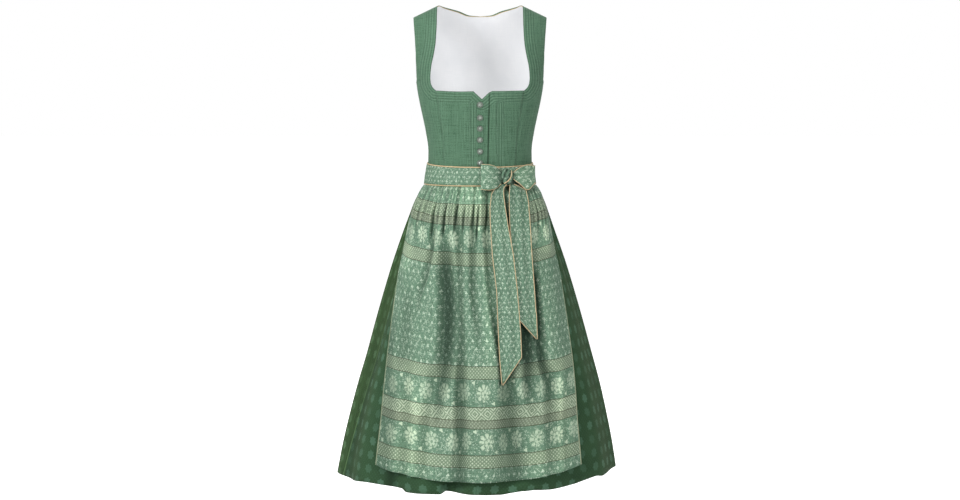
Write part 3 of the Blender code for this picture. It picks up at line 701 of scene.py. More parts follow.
# Climb 0 is the waist seam, 1 the bust line and 2 the ridge of the shoulders
def levelOf(climb):
    if climb <= 1:
        return mix(bodice["waistSeam"], bodice["bustHeight"], climb)
    return bodice["bustHeight"] * (1 - sin(pi / 2 * (climb - 1)))


def climbOf(level):
    if level <= bodice["bustHeight"]:
        return (level - bodice["waistSeam"]) / (bodice["bustHeight"] - bodice["waistSeam"])
    return 1 + asin(min(1 - level / bodice["bustHeight"], 1.0)) / (pi / 2)


def torsoPoint(turn, climb):
    level = levelOf(climb)
    lean = pi / 2 * max(climb - 1, 0.0)
    width, depth, square = readRing(torso, turn, level)
    x, y = ringPoint(width, depth * cos(lean), square, turn)
    if climb <= 1:
        return Vector((x, y, level))
    ridge = bodice["shoulderSlope"] * (bodice["neckHalfWidth"] - abs(x))
    return Vector((x, y, mix(bodice["bustHeight"], ridge, sin(lean))))


def turnAt(x, level):
    return asin(min(max(x / read(torso, "width", level), -1.0), 1.0))


shoulderTop = 2 * bodice["shoulderStop"]
armholeClimbs = [climbOf(level) for level in (bodice["armholeBottom"], *armhole["level"][1:5])]
centreClimbs = [0.0, 0.17, 0.34, 0.51, 0.68, 0.84, climbOf(bodice["neckCorner"])]
frontClimbs = [*centreClimbs, climbOf(-0.1915), climbOf(-0.184), *armholeClimbs,
               1.3, 1.42, 1.55, 1.68, 1.81, 1.92, shoulderTop]
backClimbs = [0.0, 0.2, 0.4, 0.6, 0.8, 1.0, *armholeClimbs,
              1.33, 1.48, 1.63, 1.78, 1.91, shoulderTop]


def climbTo(climbs, part, top, knee):
    climb = between(climbs, part)
    if climb <= knee:
        return climb
    return mix(knee, top, (climb - knee) / (climbs[-1] - knee))


def sideEdge(level):
    if level <= bodice["armholeBottom"]:
        return pi / 2
    return radians(read(armhole, "turn", level, curved=False))


def sidePanel(side, isFront, across, up):
    # A side panel with its half of the strap, on the +X or the -X side
    climbs, seam = (frontClimbs, princessFront) if isFront else (backClimbs, princessBack)
    climb = between(climbs, up)
    level = levelOf(climb)
    inner = turnAt(read(seam, "x", level) + bodice["seamGap"] / 2, level)
    outer = sideEdge(level) - bodice["sideGapTurn"]
    isForward = (side > 0) == isFront
    turn = side * mix(inner, outer, across if isForward else 1 - across)
    return torsoPoint(turn if isFront else pi - turn, climb)


def frontSpot(neck, across, up):
    xTop = mix(neck["x"][0], neck["x"][-1], across)
    top = climbOf(read(neck, "level", xTop, key="x", curved=False))
    climb = climbTo(centreClimbs, up, top, bodice["knee"])
    level = levelOf(climb)
    return xTop, climb, level, read(princessFront, "x", level) - bodice["seamGap"] / 2


def frontRight(across, up):
    climb, level, seam = frontSpot(neckRight, across, up)[1:]
    return torsoPoint(turnAt(mix(-seam, read(lapEdge, "x", level), across), level), climb)


def frontLeft(across, up):
    xTop, climb, level, seam = frontSpot(neckLeft, across, up)
    shift = read(lapEdge, "x", level) - lapEdge["x"][-1]
    x, end = xTop + shift, bodice["underlapEnd"]
    if xTop > end:
        x = mix(end + shift, seam, (xTop - end) / (neckLeft["x"][-1] - end))
    sunk = read(neckLeft, "sunk", xTop, key="x", curved=False)
    return torsoPoint(turnAt(x, level), climb) + Vector((0, sunk, 0))


def fromMiddle(across):
    return (1 if across < 0.5 else -1), abs(2 * across - 1)


def backCentre(across, up):
    side, share = fromMiddle(across)
    top = 2 * read(neckBack, "climb", share * princessBack["x"][-1], key="x")
    climb = climbTo(backClimbs, up, min(top, shoulderTop), 1.0)
    level = levelOf(climb)
    x = share * (read(princessBack, "x", level) - bodice["seamGap"] / 2)
    return torsoPoint(pi - side * turnAt(x, level), climb)


liningForm = dict(gap=0.0018, drop=0.002, margin=0.02, wall=0.001, cord=0.0007, step=0.004,
                  cordMove=(0, -0.0012, 0.0002))


def liningPlace(across, up):
    side, share = fromMiddle(across)
    margin, step = liningForm["margin"], liningForm["step"]
    xTop = torso["width"][-1] * sin(share * (sideEdge(0) - margin))
    top = min(2 * read(neckBack, "climb", xTop, key="x"), shoulderTop) - liningForm["drop"]
    climb = climbTo(backClimbs, up, top, 1.0)
    turn = pi - side * (sideEdge(levelOf(climb)) - margin) * share
    right = torsoPoint(turn + step, climb) - torsoPoint(turn - step, climb)
    rise = torsoPoint(turn, climb + step) - torsoPoint(turn, climb - step)
    room = liningForm["gap"] * (1 + max(climb - 1, 0)) * (1 - 0.9 * ease(up * 12 - 11))
    return torsoPoint(turn, climb) - right.cross(rise).normalized() * (bodice["wall"] + room)


def mirrored(shares):
    return [(1 - share) / 2 for share in reversed(shares)] + [(1 + share) / 2
                                                              for share in shares[1:]]


def columnsAt(table):
    first, last = table["x"][0], table["x"][-1]
    return [(x - first) / (last - first) for x in table["x"]]


# The edge of the neck opening seen from the front, from one shoulder to the other
strap = [(x, level) for level, x in zip(princessFront["level"], princessFront["x"])
         if level > bodice["neckCorner"]]
neckEdge = [*((-x, level) for x, level in reversed(strap)),
            *zip(neckRight["x"], neckRight["level"]),
            *((x, level) for x, level in zip(neckLeft["x"], neckLeft["level"]) if x > 0.021),
            *strap]
neckLine = [Vector((x, 0, level)) for x, level in neckEdge]
closureRows = dict(right=-0.0085, left=0.0385, width=0.0175, top=-0.222)
lapShadow = dict(dark=0.8, top=-0.196, start=0.0006, reach=0.0028, behind=-0.004)


def edgeDistance(across, up, spot):
    # How far a point of the front lies from the neck edge, or from the rows beside the closure
    point = Vector((spot.x, 0, spot.z))
    nearest = 1.0
    for first, second in zip(neckLine, neckLine[1:]):
        along = second - first
        part = clamp((point - first).dot(along) / along.length_squared)
        nearest = min(nearest, (first + along * part - point).length)
    beside = closureRows["right"] - spot.x if spot.x < 0 else spot.x - closureRows["left"]
    if 0 < beside < closureRows["width"] and spot.z < closureRows["top"]:
        nearest = min(nearest, beside)
    return nearest


def edgeShade(shadow, past, below):
    # Shade on cloth just past the edge of what lies over it, and below where it begins
    if past <= shadow["behind"]:
        return 0.0
    fall = 1 - ease((past - shadow["start"]) / shadow["reach"])
    return shadow["dark"] * ease(below / 0.03) * fall


def lapShade(across, up, spot):
    past = spot.x - read(lapEdge, "x", spot.z, curved=False)
    return edgeShade(lapShadow, past, lapShadow["top"] - spot.z)


def constant(value):
    return lambda across, up, spot: value


def acrossBy(width):
    # The cloth's length across for each share, and the height as it hangs
    return lambda across, up, spot: (across * width, spot.z)


def seamDip(width):
    # The cloth rolls in a little where two panels are sewn together
    return lambda across: -bodice["seamDip"] * exp(
        -(min(across, 1 - across) * width / bodice["seamWidth"]) ** 2)


def withEdges(places, margin):
    # More columns close to both ends, for the seam's roll
    extra = [margin * part for part in (0.25, 0.5, 1.0)]
    inside = [place for place in places if margin * 1.4 < place < 1 - margin * 1.4]
    return [0.0, *extra, *inside, *(1 - place for place in reversed(extra)), 1.0]


# Each panel's width as it is cut
panelWidths = dict(SideFront=0.075, SideBack=0.08, BackCentre=0.17, BackLining=0.42)


def kindOf(name):
    return name.removesuffix("Right").removesuffix("Left")


def makeBodice():
    steps = bodice["rowsPerStep"]
    centreRows = evenRows(centreClimbs, steps + 2)
    frontRows = evenRows(frontClimbs, steps)
    backRows = evenRows(backClimbs, steps)
    front = {"edgeDistance": edgeDistance}
    plain = {"edgeDistance": constant(1.0)}

    def panel(name, place, across, rows, marks):
        width = panelWidths.get(kindOf(name))
        cut, relief = (acrossBy(width), seamDip(width)) if width else (
            lambda across, up, spot: (spot.x, spot.z), None)
        return makeSheet(name, "bodice_" + snake(name).removesuffix("_centre"), linenCloth, place,
                         across, rows, bodice["wall"], cut, relief, marks)

    pieces = [
        panel("FrontRight", frontRight, finer(columnsAt(neckRight), 6), centreRows, front),
        panel("FrontLeft", frontLeft, finer(columnsAt(neckLeft), 6), centreRows,
              {**front, "paintedShade": lapShade})]
    sideColumns = withEdges(even(24), 0.03)
    for side, word in ((-1, "Right"), (1, "Left")):
        for label, isFront, rows, marks in (("SideFront", True, frontRows, front),
                                            ("SideBack", False, backRows, plain)):
            pieces.append(panel(label + word, partial(sidePanel, side, isFront), sideColumns,
                                rows, marks))
    shares = [x / princessBack["x"][-1] for x in neckColumns]
    pieces.append(panel("BackCentre", backCentre, finer(mirrored(shares), 4), backRows, plain))
    turns = [asin(x / torso["width"][-1]) / (sideEdge(0) - liningForm["margin"])
             for x in neckColumns]
    columns = finer(mirrored(turns + [(1 + turns[-1]) / 2, 1.0]), 4)
    pieces.append(makeSheet("BackLining", "lining_back", liningCloth, liningPlace, columns,
                            backRows, liningForm["wall"], acrossBy(panelWidths["BackLining"])))
    points = [liningPlace(mix((1 - turns[5]) / 2, (1 + turns[5]) / 2, part), 1.0)
              + Vector(liningForm["cordMove"]) for part in even(60)]
    cord = makeCord("NeckCord", None, points, liningForm["cord"])


makeBodice()
print("bodice made")

# Buttons with a rosette: a spun disc whose face is raised in petals
buttons = dict(
    heights=(-0.2294, -0.2593, -0.2845, -0.3111, -0.3383, -0.3652),
    **milli(
        radius=(0, 5, 6.4, 7, 7, 6.3, 5.6, 4.6, 3.2, 2, 1.3, 0.7, 0),
        height=(0, 0, 0.6, 1.2, 1.8, 2.4, 1.9, 2.1, 2.6, 2.2, 3.1, 3.5, 3.6)),
    petals=6, petalHeight=0.0007, steps=48, petalStart=0.0014, petalEnd=0.0052,
    face=0.0017, dark=0.001, bright=0.0034)


def makeButtons():
    sideways = Vector((1, 0, 0))
    for number, height in enumerate(buttons["heights"], 1):
        climb = climbOf(height)
        above = next(row for row in centreClimbs if row > climb)
        below = centreClimbs[centreClimbs.index(above) - 1]
        low, high = torsoPoint(0, below), torsoPoint(0, above)
        seat = low.lerp(high, (climb - below) / (above - below))
        rise = (high - low).normalized()
        facing = sideways.cross(rise).normalized()
        disc = bmesh.new()
        points = [disc.verts.new((radius, 0, out))
                  for radius, out in zip(buttons["radius"], buttons["height"])]
        for first, second in zip(points, points[1:]):
            disc.edges.new((first, second))
        bmesh.ops.spin(disc, geom=disc.verts[:] + disc.edges[:], cent=(0, 0, 0), axis=(0, 0, 1),
                       angle=tau, steps=buttons["steps"], use_merge=True)
        bmesh.ops.remove_doubles(disc, verts=disc.verts[:], dist=0.00001)
        bmesh.ops.recalc_face_normals(disc, faces=disc.faces[:])
        relief = disc.verts.layers.float.new("relief")
        for vert in disc.verts:
            x, y, out = vert.co
            radius = hypot(x, y)
            petal = cos(buttons["petals"] * (atan2(y, x) + 0.3 * number)) / 2
            isPetal = (ease((radius - buttons["petalStart"]) / 0.0008)
                       * ease((buttons["petalEnd"] - radius) / 0.001))
            if out > buttons["face"]:
                out += buttons["petalHeight"] * petal * isPetal
            vert[relief] = clamp((out - buttons["dark"]) / (buttons["bright"] - buttons["dark"]))
            vert.co = seat + facing * (out + bodice["seamGap"]) + sideways * x + rise * y
        faceOutward(disc)
        finishPiece(f"Button{number}", disc, agedSilver, f"button_{number}")


makeButtons()
print("buttons made")

# Skirt: its smooth form from the hem up, then its folds, which are cut inwards from that form
skirt = milli(
    level=(-1106, -1035, -962, -890, -817, -745, -673, -601, -529, -493.5, -458, -434, -420, -410,
        -397.8),
    width=(336, 323.5, 307.5, 289.5, 268.5, 249, 228.5, 206.5, 181.5, 168.5, 155, 142, 130, 126.8,
        122.2),
    front=(286, 277, 266, 254, 240, 226, 209, 189, 166, 152, 135, 118, 100, 95, 89),
    back=(292, 283, 270, 257, 242, 226, 208, 187, 163, 148, 130, 112, 94, 89, 83),
    square=(2000, 2000, 2000, 2000, 2000, 2000, 2000, 2000, 2000, 2000, 2050, 2100, 2200, 2250,
        2250),
    sway=(-7.5, -6, -4.5, -3, -2, -2, -2, -2, -2, -1.5, -1, 0, 0, 0, 0))
skirtFolds = milli(
    level=(-1106, -900, -700, -560, -500, -450, -425, -410, -397.8),
    gather=(0, 0, 1, 4, 6.5, 7, 4.5, 2, 0),
    flute=(15, 12, 8, 4, 2, 0.5, 0, 0, 0),
    pucker=(0, 0, 0.3, 1.2, 2.2, 2.6, 1.6, 0.6, 0))
skirtShape = dict(gathers=26, flutes=13, puckers=74, wall=0.0012, hemLift=0.013, calm=0.6,
                  calmTurn=1.22, calmWidth=0.42, uneven=0.0012, tall=0.74, gore=0.72)
fluteDrift = ((3, 0.09, 0.6), (5, 0.05, 0.0))
pleat = dict(turn=radians(-14.8), width=0.4, lip=0.06, depth=0.022, top=-0.7, height=0.4)
pressed = dict(turn=0.86, depth=0.0085, low=-1.075, high=-0.49)
# The hem falls a little where a fold comes forward, by the turn from the front in degrees
hemFall = dict(
    turn=(-90, -70, -60, -50, -42, -32, -29.5, -20, -14.6, -13.4, -6, 0, 5, 9, 14, 18, 22, 27,
             33, 44, 50, 57, 62, 70, 90),
    **milli(
        fall=(0, 3, 0, -4, -2, 0, 7, 6, 7, 3.5, 6, 6, 8, 8, 3, 0, 0, 3, 6, 4, 0, -4, 0, 0, 0)))
# Painted shadows under the apron's hem: the turn in degrees, how far each reaches and how dark
hemShadows = ((-38.2, 5.6, 0.95), (-12.4, 2.8, 0.55))
skirtSeams = dict(FrontRight=(-75, 0), FrontLeft=(0, 75), SideLeft=(75, 145),
                  CentreBack=(145, 215), SideRight=(215, 285))
skirtRows = (-1.105, -1.02, -0.93, -0.84, -0.75, -0.66, -0.58, -0.515, -0.47, -0.437,
             -0.421, -0.41, -0.3978)


def foldsIn(turn, level):
    gather = wave(skirtShape["gathers"] * turn) ** 1.5
    drift = sum(size * sin(waves * turn + start) for waves, size, start in fluteDrift)
    flute = wave(skirtShape["flutes"] * (turn + drift))
    past = (turn - pleat["turn"]) / pleat["width"]
    hang = ease((pleat["top"] - level) / pleat["height"])
    inPleat = ease(past / pleat["lip"]) * (1 - ease(past)) * hang
    away = abs(turn - skirtShape["calmTurn"]) / skirtShape["calmWidth"]
    flute *= 1 - skirtShape["calm"] * ease(1 - away)
    uneven = noise.noise(Vector((turn * 9.0, level * 1.5, 3.7)))
    pucker = wave(skirtShape["puckers"] * (turn + 0.03 * uneven))
    return (read(skirtFolds, "gather", level) * gather
            + read(skirtFolds, "flute", level) * flute
            + read(skirtFolds, "pucker", level) * pucker
            + pleat["depth"] * inPleat + underApron(turn, level)
            + skirtShape["uneven"] * (0.5 + 0.5 * uneven) * ease((-0.42 - level) / 0.08))


def underApron(turn, level):
    # The skirt is pressed in where the apron lies over it
    beside = ease((pressed["turn"] - abs(turn)) / 0.16)
    return (pressed["depth"] * beside * ease((level - pressed["low"]) / 0.05)
            * ease((pressed["high"] - level) / 0.06))


def skirtPlace(first, last, across, up):
    level = between(skirtRows, up)
    turn = mix(first, last, across)
    bearing = (degrees(turn) + 180) % 360 - 180
    lift = skirtShape["hemLift"] * max(sin(turn), 0) ** 2
    lift = (lift - read(hemFall, "fall", bearing, key="turn")) * max(1 - up * 6.0, 0)
    return formPoint(skirt, turn, level + lift, -foldsIn(turn, level + lift))


# Painted shade on the skirt: darker in the folds' hollows, less so at the front hem, with painted
# shadows under the apron's hem
def skirtPaintedShade(first, last, across, up, spot):
    turn = mix(first, last, across)
    deep = foldsIn(turn, spot.z) - 0.5 * underApron(turn, spot.z)
    deepest = 0.01 + read(skirtFolds, "flute", spot.z) + read(skirtFolds, "gather", spot.z)
    low = ease((-1.05 - spot.z) / 0.03) * ease((0.9 - abs(turn)) / 0.2)
    folded = clamp(deep / deepest) ** 1.5 * (1 - 0.8 * low)
    hemShade = max(shade * (1 - ease(abs(degrees(turn) - middle) / reach))
               for middle, reach, shade in hemShadows)
    return max(folded, hemShade * ease((-1.02 - spot.z) / 0.03))


def makeSkirt():
    for label, (first, last) in skirtSeams.items():
        start, stop = radians(first), radians(last)

        def cut(across, up, spot):
            return mix(start, stop, across) * skirtCloth["turnLength"], spot.z

        name = "Skirt" + label
        piece = makeSheet(name, snake(name), skirtCotton, partial(skirtPlace, start, stop),
                          even(round((last - first) * 1.7)), evenRows(skirtRows, 6),
                          skirtShape["wall"], cut,
                          marks={"paintedShade": partial(skirtPaintedShade, start, stop)})


makeSkirt()
print("skirt made")

# Apron: half width, distance out from the skirt and depth of its folds at each level
apron = milli(
    level=(-1080, -1024, -956, -890, -827, -747, -692, -619, -573, -533, -485, -451, -435, -419.7),
    half=(243, 237.5, 230, 224.5, 218, 207.5, 199.5, 188, 178, 170.5, 160.5, 149, 142, 132.2),
    leftTrim=(966, 970, 974, 978, 983, 988, 992, 1000, 1000, 1000, 1000, 1000, 1000, 1000),
    lift=(6, 5.8, 5.5, 5.2, 5, 4.8, 4.5, 4, 3.5, 3, 2.8, 2.6, 2.5, 2.4),
    fold=(5, 5.2, 5.5, 5.8, 6, 6.5, 7, 8, 9, 10, 10.5, 8, 4.5, 0))
# Small puckers where the apron is gathered, held flat again at the stitched line
apronPuckers = milli(
    level=(-560, -530, -505, -480, -465, -456.2, -448, -432, -419.7),
    depth=(0, 1, 1.8, 2.4, 2.2, 1, 2.6, 2.6, 1))


def bank(*columns):
    # Levels, shares of the half width, depths, and how far the left and right banks reach
    return milli(**dict(zip(("level", "share", "depth", "left", "right"), columns)))


# Long valleys of the drape
valleys = (
    bank((-960, -915, -880, -850, -788, -739, -672, -617, -560, -528.5, -476),
         (-385, -377, -365, -345, -320, -314, -322, -352, -366, -368, -368),
         (0, 10, 13, 14.5, 17.5, 18.5, 19, 18, 11, 5, 0),
         (60, 65, 70, 75, 85, 85, 85, 75, 62, 50, 30),
         (60, 70, 85, 110, 130, 140, 140, 130, 100, 80, 40)),
    bank((-1080, -977, -866, -783, -672, -616, -526, -476),
         (-158, -161, -174, -172, -190, -195, -214, -241), (12.5, 13, 14.5, 12.5, 10, 9, 9, 5),
         (80, 60, 55, 55, 50, 40, 40, 30), (105, 95, 80, 65, 55, 55, 50, 30)),
    bank((-790, -738, -671, -615, -526, -474.7), (26, -1, -48, -59, -62, -61),
         (0, 6, 9, 10, 10, 5), (50, 50, 45, 45, 40, 30), (40, 40, 40, 40, 40, 30)),
    bank((-1080, -1052, -978, -917, -880, -840, -790, -671, -526),
         (295, 310, 300, 285, 268, 245, 205, 121, 79),
         (10.5, 11.5, 12.5, 13.5, 14.5, 14, 11, 9, 10), (180, 190, 165, 130, 105, 70, 50, 45, 45),
         (160, 150, 150, 150, 110, 80, 80, 70, 60)),
    bank((-960, -925, -880, -830, -790, -740, -700, -670),
         (510, 490, 465, 455, 458, 450, 445, 440), (0, 4, 10, 15, 19.5, 19.5, 15, 0),
         (80, 80, 75, 65, 70, 80, 80, 60), (90, 110, 120, 120, 120, 110, 80, 60)),
    bank((-640, -580, -520, -470, -440, -419.7), (400, 395, 390, 385, 400, 430),
         (0, 8, 13, 12, 8, 0), 50, 60),
    bank((-720, -676, -619, -529, -477), (-640, -629, -555, -504, -516), (0, 6, 9, 10, 5),
         (80, 70, 60, 50, 30), (60, 50, 45, 40, 30)),
    bank((-1057, -983, -872, -811, -743, -675, -619, -530, -479),
         (660, 680, 685, 610, 590, 585, 588, 650, 703), (4, 6, 12, 17.5, 17.5, 16, 12, 1, 0),
         (80, 85, 90, 90, 80, 65, 60, 50, 30), (110, 110, 105, 100, 80, 65, 60, 50, 30)),
    bank((-860, -800, -700, -640), (-790, -790, -785, -780), (0, 6.5, 6.5, 0), 120,
         (160, 160, 150, 140)),
    bank((-1080, -988, -877, -800), (840, 839, 895, 930), (4, 5, 4, 0), 80, 80),
    bank((-1080, -990, -880, -780), (-690, -690, -710, -720), (9, 8, 7, 0), 80,
         (100, 100, 90, 80)),
    bank((-1080, -983, -870, -800), (-510, -510, -440, -420), (7, 8, 7, 0), (90, 80, 60, 60),
         (100, 80, 60, 60)),
)
# The rounded roll beside the deepest valley
roll = bank((-900, -820, -740, -660, -600, -540, -500),
            (-500, -440, -410, -420, -445, -455, -450), (0, 4, 6, 6.5, 5.5, 3, 0),
            (200, 180, 150, 130, 110, 80, 50), (80, 75, 65, 65, 65, 60, 40))
# Painted highlight where the drape comes forward and takes more light
litRolls = (
    bank((-1080, -1000, -900, -860, -800), (-620, -620, -630, -640, -640),
         (750, 600, 500, 350, 0), (220, 220, 200, 180, 180), (260, 240, 220, 180, 160)),
    bank((-1080, -1000, -930, -880), (560, 540, 520, 520), (500, 300, 80, 0),
         (140, 130, 120, 100), (140, 120, 120, 100)),
    bank((-1080, -1030, -950, -900, -840, -780), (740, 780, 800, 800, 790, 780),
         (650, 500, 700, 650, 350, 0), (120, 100, 90, 90, 90, 90), (160, 120, 120, 120, 120, 120)),
    bank((-850, -800, -700, -600, -540), (60, 85, 85, 60, 40), (0, 300, 500, 350, 0),
         (60, 60, 60, 60, 50), 100),
    bank((-575, -555, -510, -490), (790, 790, 780, 780), (0, 650, 650, 0), 160, 140),
    bank((-620, -600, -555, -535), (-860, -860, -870, -870), (0, 600, 600, 0), 160, 120),
    bank((-535, -515, -495, -470, -419.7), (50, 40, 40, 0, -40), (0, 350, 600, 750, 1000),
         (140, 140, 160, 280, 380), (180, 200, 220, 240, 260)),
    bank((-800, -740, -560, -520), (690, 680, 660, 620), (200, 250, 0, 0), 80, 140),
)
# Sharp tucks under the stitched line, each with its share of the depth
tucks = dict(
    **milli(
        share=(-925, -831, -745, -660, -590, -516, -440, -368, -300, -241, -195, -150, -105, -61,
            -3, 88, 190, 310, 430, 560, 640, 703, 770, 834, 918),
        depth=(500, 800, 500, 700, 400, 1000, 400, 1000, 400, 900, 300, 800, 400, 800, 1000, 800,
            700, 700, 700, 800, 600, 900, 500, 900, 700),
        end=(-500, -510, -495, -505, -495, -530, -495, -520, -495, -515, -490, -510, -495, -505,
            -530, -510, -500, -500, -500, -500, -500, -520, -495, -510, -510)),
    most=0.0075, width=(0.009, 0.019), lean=0.35, line=-0.4545)
# The tails of the bow: their edges by height, and how far they lie from the apron
tails = dict(
    Long=dict(
        **milli(
            level=(-860.6, -800, -744.7, -650.5, -570.7, -504.4, -464.8, -435.3, -422, -413.5),
            left=(50.5, 44.8, 42, 38.2, 28.5, 24.2, 23.3, 27, 35, 50),
            right=(52.5, 95.5, 93.5, 86, 77, 65, 59, 55.5, 56, 63)),
        out=0.0074, shadeFrom=-0.425),
    Short=dict(
        **milli(
            level=(-762.1, -708, -698, -650.5, -577.2, -500, -452, -428, -418, -413.5),
            left=(130, 82.2, 81.5, 79, 75, 69, 68.3, 69, 70, 70),
            right=(132, 130, 128.7, 125.7, 120.4, 116.5, 113.3, 108, 90, 79)),
        out=0.0034, shadeFrom=-0.605))
tailShadow = dict(dark=0.95, start=0.0, reach=0.011, behind=-0.01)
# How far the woven borders rise towards the apron's sides
borderRise = milli(
    level=(-1080, -1030, -995, -930, -840, -580, -550, -500, -470, -445, -419.7),
    rise=(25, 17, 19, 18, 17, 19, 20, 15, 16, 14, 6))
apronShape = dict(wall=0.0012, cornerRise=0.025, edgeFade=0.8, puckers=31, columns=280,
                  pucker=0.0026, valley=0.018, soft=0.0016)
apronRows = milli(
    level=(-1080, -1020, -930, -840, -750, -660, -580, -545, -515, -492.5, -470, -452, -437, -428,
        -419.7),
    rise=(1000, 750, 450, 200, 50, 0, 0, 0, 0, 0, 0, 0, 0, 0, 0))


def bankAt(table, share, level):
    # 1 along the middle of a valley or a roll, and 0 past its banks
    away = share - read(table, "share", level)
    reach = read(table, "left" if away < 0 else "right", level)
    return (1 - ease(abs(away) / (reach * 1.25))) * read(table, "depth", level)


def tuckAt(share, level):
    depth, line = 0.0, tucks["line"]
    for place, part, end in zip(tucks["share"], tucks["depth"], tucks["end"]):
        width = mix(*tucks["width"], ease((line - level) / 0.04))
        away = abs(share - place - tucks["lean"] * (level - line)) / width
        if away < 1:
            fall = ease((line - level) / 0.01) * ease((level - end + 0.022) / 0.03)
            depth = max(depth, part * (1 - away) ** 1.2 * fall)
    return depth


def puckerAt(share, level):
    uneven = noise.noise(Vector((share * 11.0, level * 3.0, 1.3)))
    return sin(pi * apronShape["puckers"] * (share + 0.035 * uneven) + 4.0 * uneven)


def sideFade(share):
    return 1 - ease((abs(share) - apronShape["edgeFade"]) / (1 - apronShape["edgeFade"]))


def apronOut(share, level):
    valley = sum(bankAt(table, share, level) for table in valleys)
    pucker = read(apronPuckers, "depth", level) * (0.5 * puckerAt(share, level) - 0.35)
    soft = apronShape["soft"] * noise.noise(Vector((share * 4.0, level * 5.0, 8.1)))
    out = (read(apron, "fold", level) + bankAt(roll, share, level) - valley + pucker + soft
           - tucks["most"] * tuckAt(share, level))
    floor = -0.006 if level > -1.0 else -0.002
    return read(apron, "lift", level) + apronShape["wall"] + max(out * sideFade(share), floor)


def apronPlace(across, up):
    share = 2 * across - 1
    rise = apronShape["cornerRise"] * between(apronRows["rise"], up) * share * share
    level = between(apronRows["level"], up) + rise
    width = read(skirt, "width", level) + read(apron, "lift", level)
    edge = asin(min(read(apron, "half", level) / width, 0.995))
    if share < 0:
        edge *= read(apron, "leftTrim", level)
    return formPoint(skirt, share * edge, level, apronOut(share, level))


def apronCut(across, up, spot):
    # The gathers leave the woven lines a little uneven
    share = 2 * across - 1
    jog = 0.003 * noise.noise(Vector((share * 9.0, 4.2, 0.0))) * ease((spot.z + 0.7) / 0.15)
    rise = read(borderRise, "rise", spot.z) * share ** 2
    # Low down the two middle valleys take up more of the width
    taken = 0.13 * ease((-0.9 - spot.z) / 0.08)
    valley = 0.4 * ease((share + 0.232) / 0.17) + 0.6 * ease((share - 0.09) / 0.335)
    return mix(across, valley, taken) * jacquard["apronWidth"], spot.z - rise + jog


def smallFold(share, level, sign):
    depth = read(apronPuckers, "depth", level) / apronShape["pucker"]
    return max(sign * puckerAt(share, level), 0.0) * depth


# Painted shade on the apron: darker in its valleys, tucks and pucker troughs, along its left edge
# and beside the bow's tails
def apronPaintedShade(across, up, spot):
    share, level = 2 * across - 1, spot.z
    deep = max(bankAt(table, share, level) for table in valleys) / apronShape["valley"]
    shade = max(besideTail(tail, spot) for tail in tails.values())
    start = mix(0.8, 0.7, ease((-0.84 - level) / 0.04))
    # The apron's left edge is painted darker, as shade
    rim = 0.42 * ease((-start - share) / 0.16) * ease((-0.68 - level) / 0.08)
    crease = 0.95 * min(deep, 1.0) + 0.4 * smallFold(share, level, -1) + tuckAt(share, level)
    return min(max(min(crease, 1.0) * sideFade(share), rim) + shade, 1.0)


# Painted highlight on the rolls of the drape and on the tops of the small puckers
def apronPaintedLight(across, up, spot):
    share = 2 * across - 1
    lit = max(bankAt(table, share, spot.z) for table in litRolls)
    return min(lit + 0.5 * smallFold(share, spot.z, 1) * sideFade(share), 1.0)


# Painted shadow on the apron just right of a tail's edge, below where it begins
def besideTail(tail, spot):
    if not tail["level"][0] < spot.z < tail["shadeFrom"]:
        return 0.0
    past = spot.x - read(tail, "right", spot.z, curved=False)
    return edgeShade(tailShadow, past, tail["shadeFrom"] - spot.z)


def makeApron():
    piece = makeSheet("Apron", "apron", apronCloth, apronPlace, even(apronShape["columns"]),
                      evenRows(apronRows["level"], 10), apronShape["wall"], apronCut,
                      marks={"paintedShade": apronPaintedShade, "crest": apronPaintedLight})


makeApron()
print("apron made")

# Band round the waist, with a cord along each edge
band = milli(
    level=(-416.5, -371),
    width=(133.5, 126.2),
    front=(104.5, 93),
    back=(98.5, 87),
    square=(2200, 2250),
    sway=0)
bandShape = dict(wall=0.0024, frontDip=0.006, cord=0.0013, around=192)


def bandTop(turn):
    return band["level"][-1] - bandShape["frontDip"] * max(cos(turn), 0)


def bandPlace(across, up):
    turn = tau * across
    level = mix(band["level"][0], bandTop(turn), up)
    crease = noise.noise(Vector((cos(turn) * 4, sin(turn) * 4, level * 60)))
    return formPoint(band, turn, level, 0.0008 * sin(pi * up) * (0.5 + crease))


def makeBand():
    around = bandShape["around"]
    piece = makeSheet("ApronBand", "apron_band", ribbonCloth, bandPlace, even(around), even(10),
                      bandShape["wall"], acrossBy(0.76), marks={"paintedShade": constant(0.0)},
                      closed=True)
    for word, edge, side in (("Top", bandTop, 1), ("Bottom", lambda turn: band["level"][0], -1)):
        points = []
        for step in range(around):
            turn = tau * step / around
            point = formPoint(band, turn, edge(turn), -bandShape["wall"] / 2)
            point.z += side * (bandShape["cord"] + bodice["seamGap"])
            points.append(point)
        makeCord("BandCord" + word, "band_piping_" + word.lower(), points,
                              bandShape["cord"], True)


makeBand()
print("band made")

# Bow: two loops, a knot between them and two tails
# Each loop's dark is painted shade towards the knot, and its lit is painted light on the whole
# loop
loops = dict(
    Right=dict(
        **milli(
            part=(0, 300, 650, 1000),
            x=(50.2, 38, 20, 2.8),
            top=(-385, -374.5, -369, -368),
            bottom=(-410, -422, -425.5, -424)),
        dark=0.7, lit=0.08),
    Left=dict(
        **milli(
            part=(0, 300, 650, 1000),
            x=(78.8, 94, 113, 130.5),
            top=(-387, -376.5, -371, -375),
            bottom=(-402, -413, -427, -412)),
        dark=0.6, lit=0.55))
bed = dict(low=-0.436, high=-0.382)
bow = dict(loopDepth=0.011, clearance=0.0012, wall=0.0012, cord=0.0008, tape=0.055,
           tailTop=-0.4135, cordMove=(0, -0.0004, 0))


def crest(level):
    level = max(level, apron["level"][0])
    return read(apron, "lift", level) + apronShape["wall"] + read(apron, "fold", level)


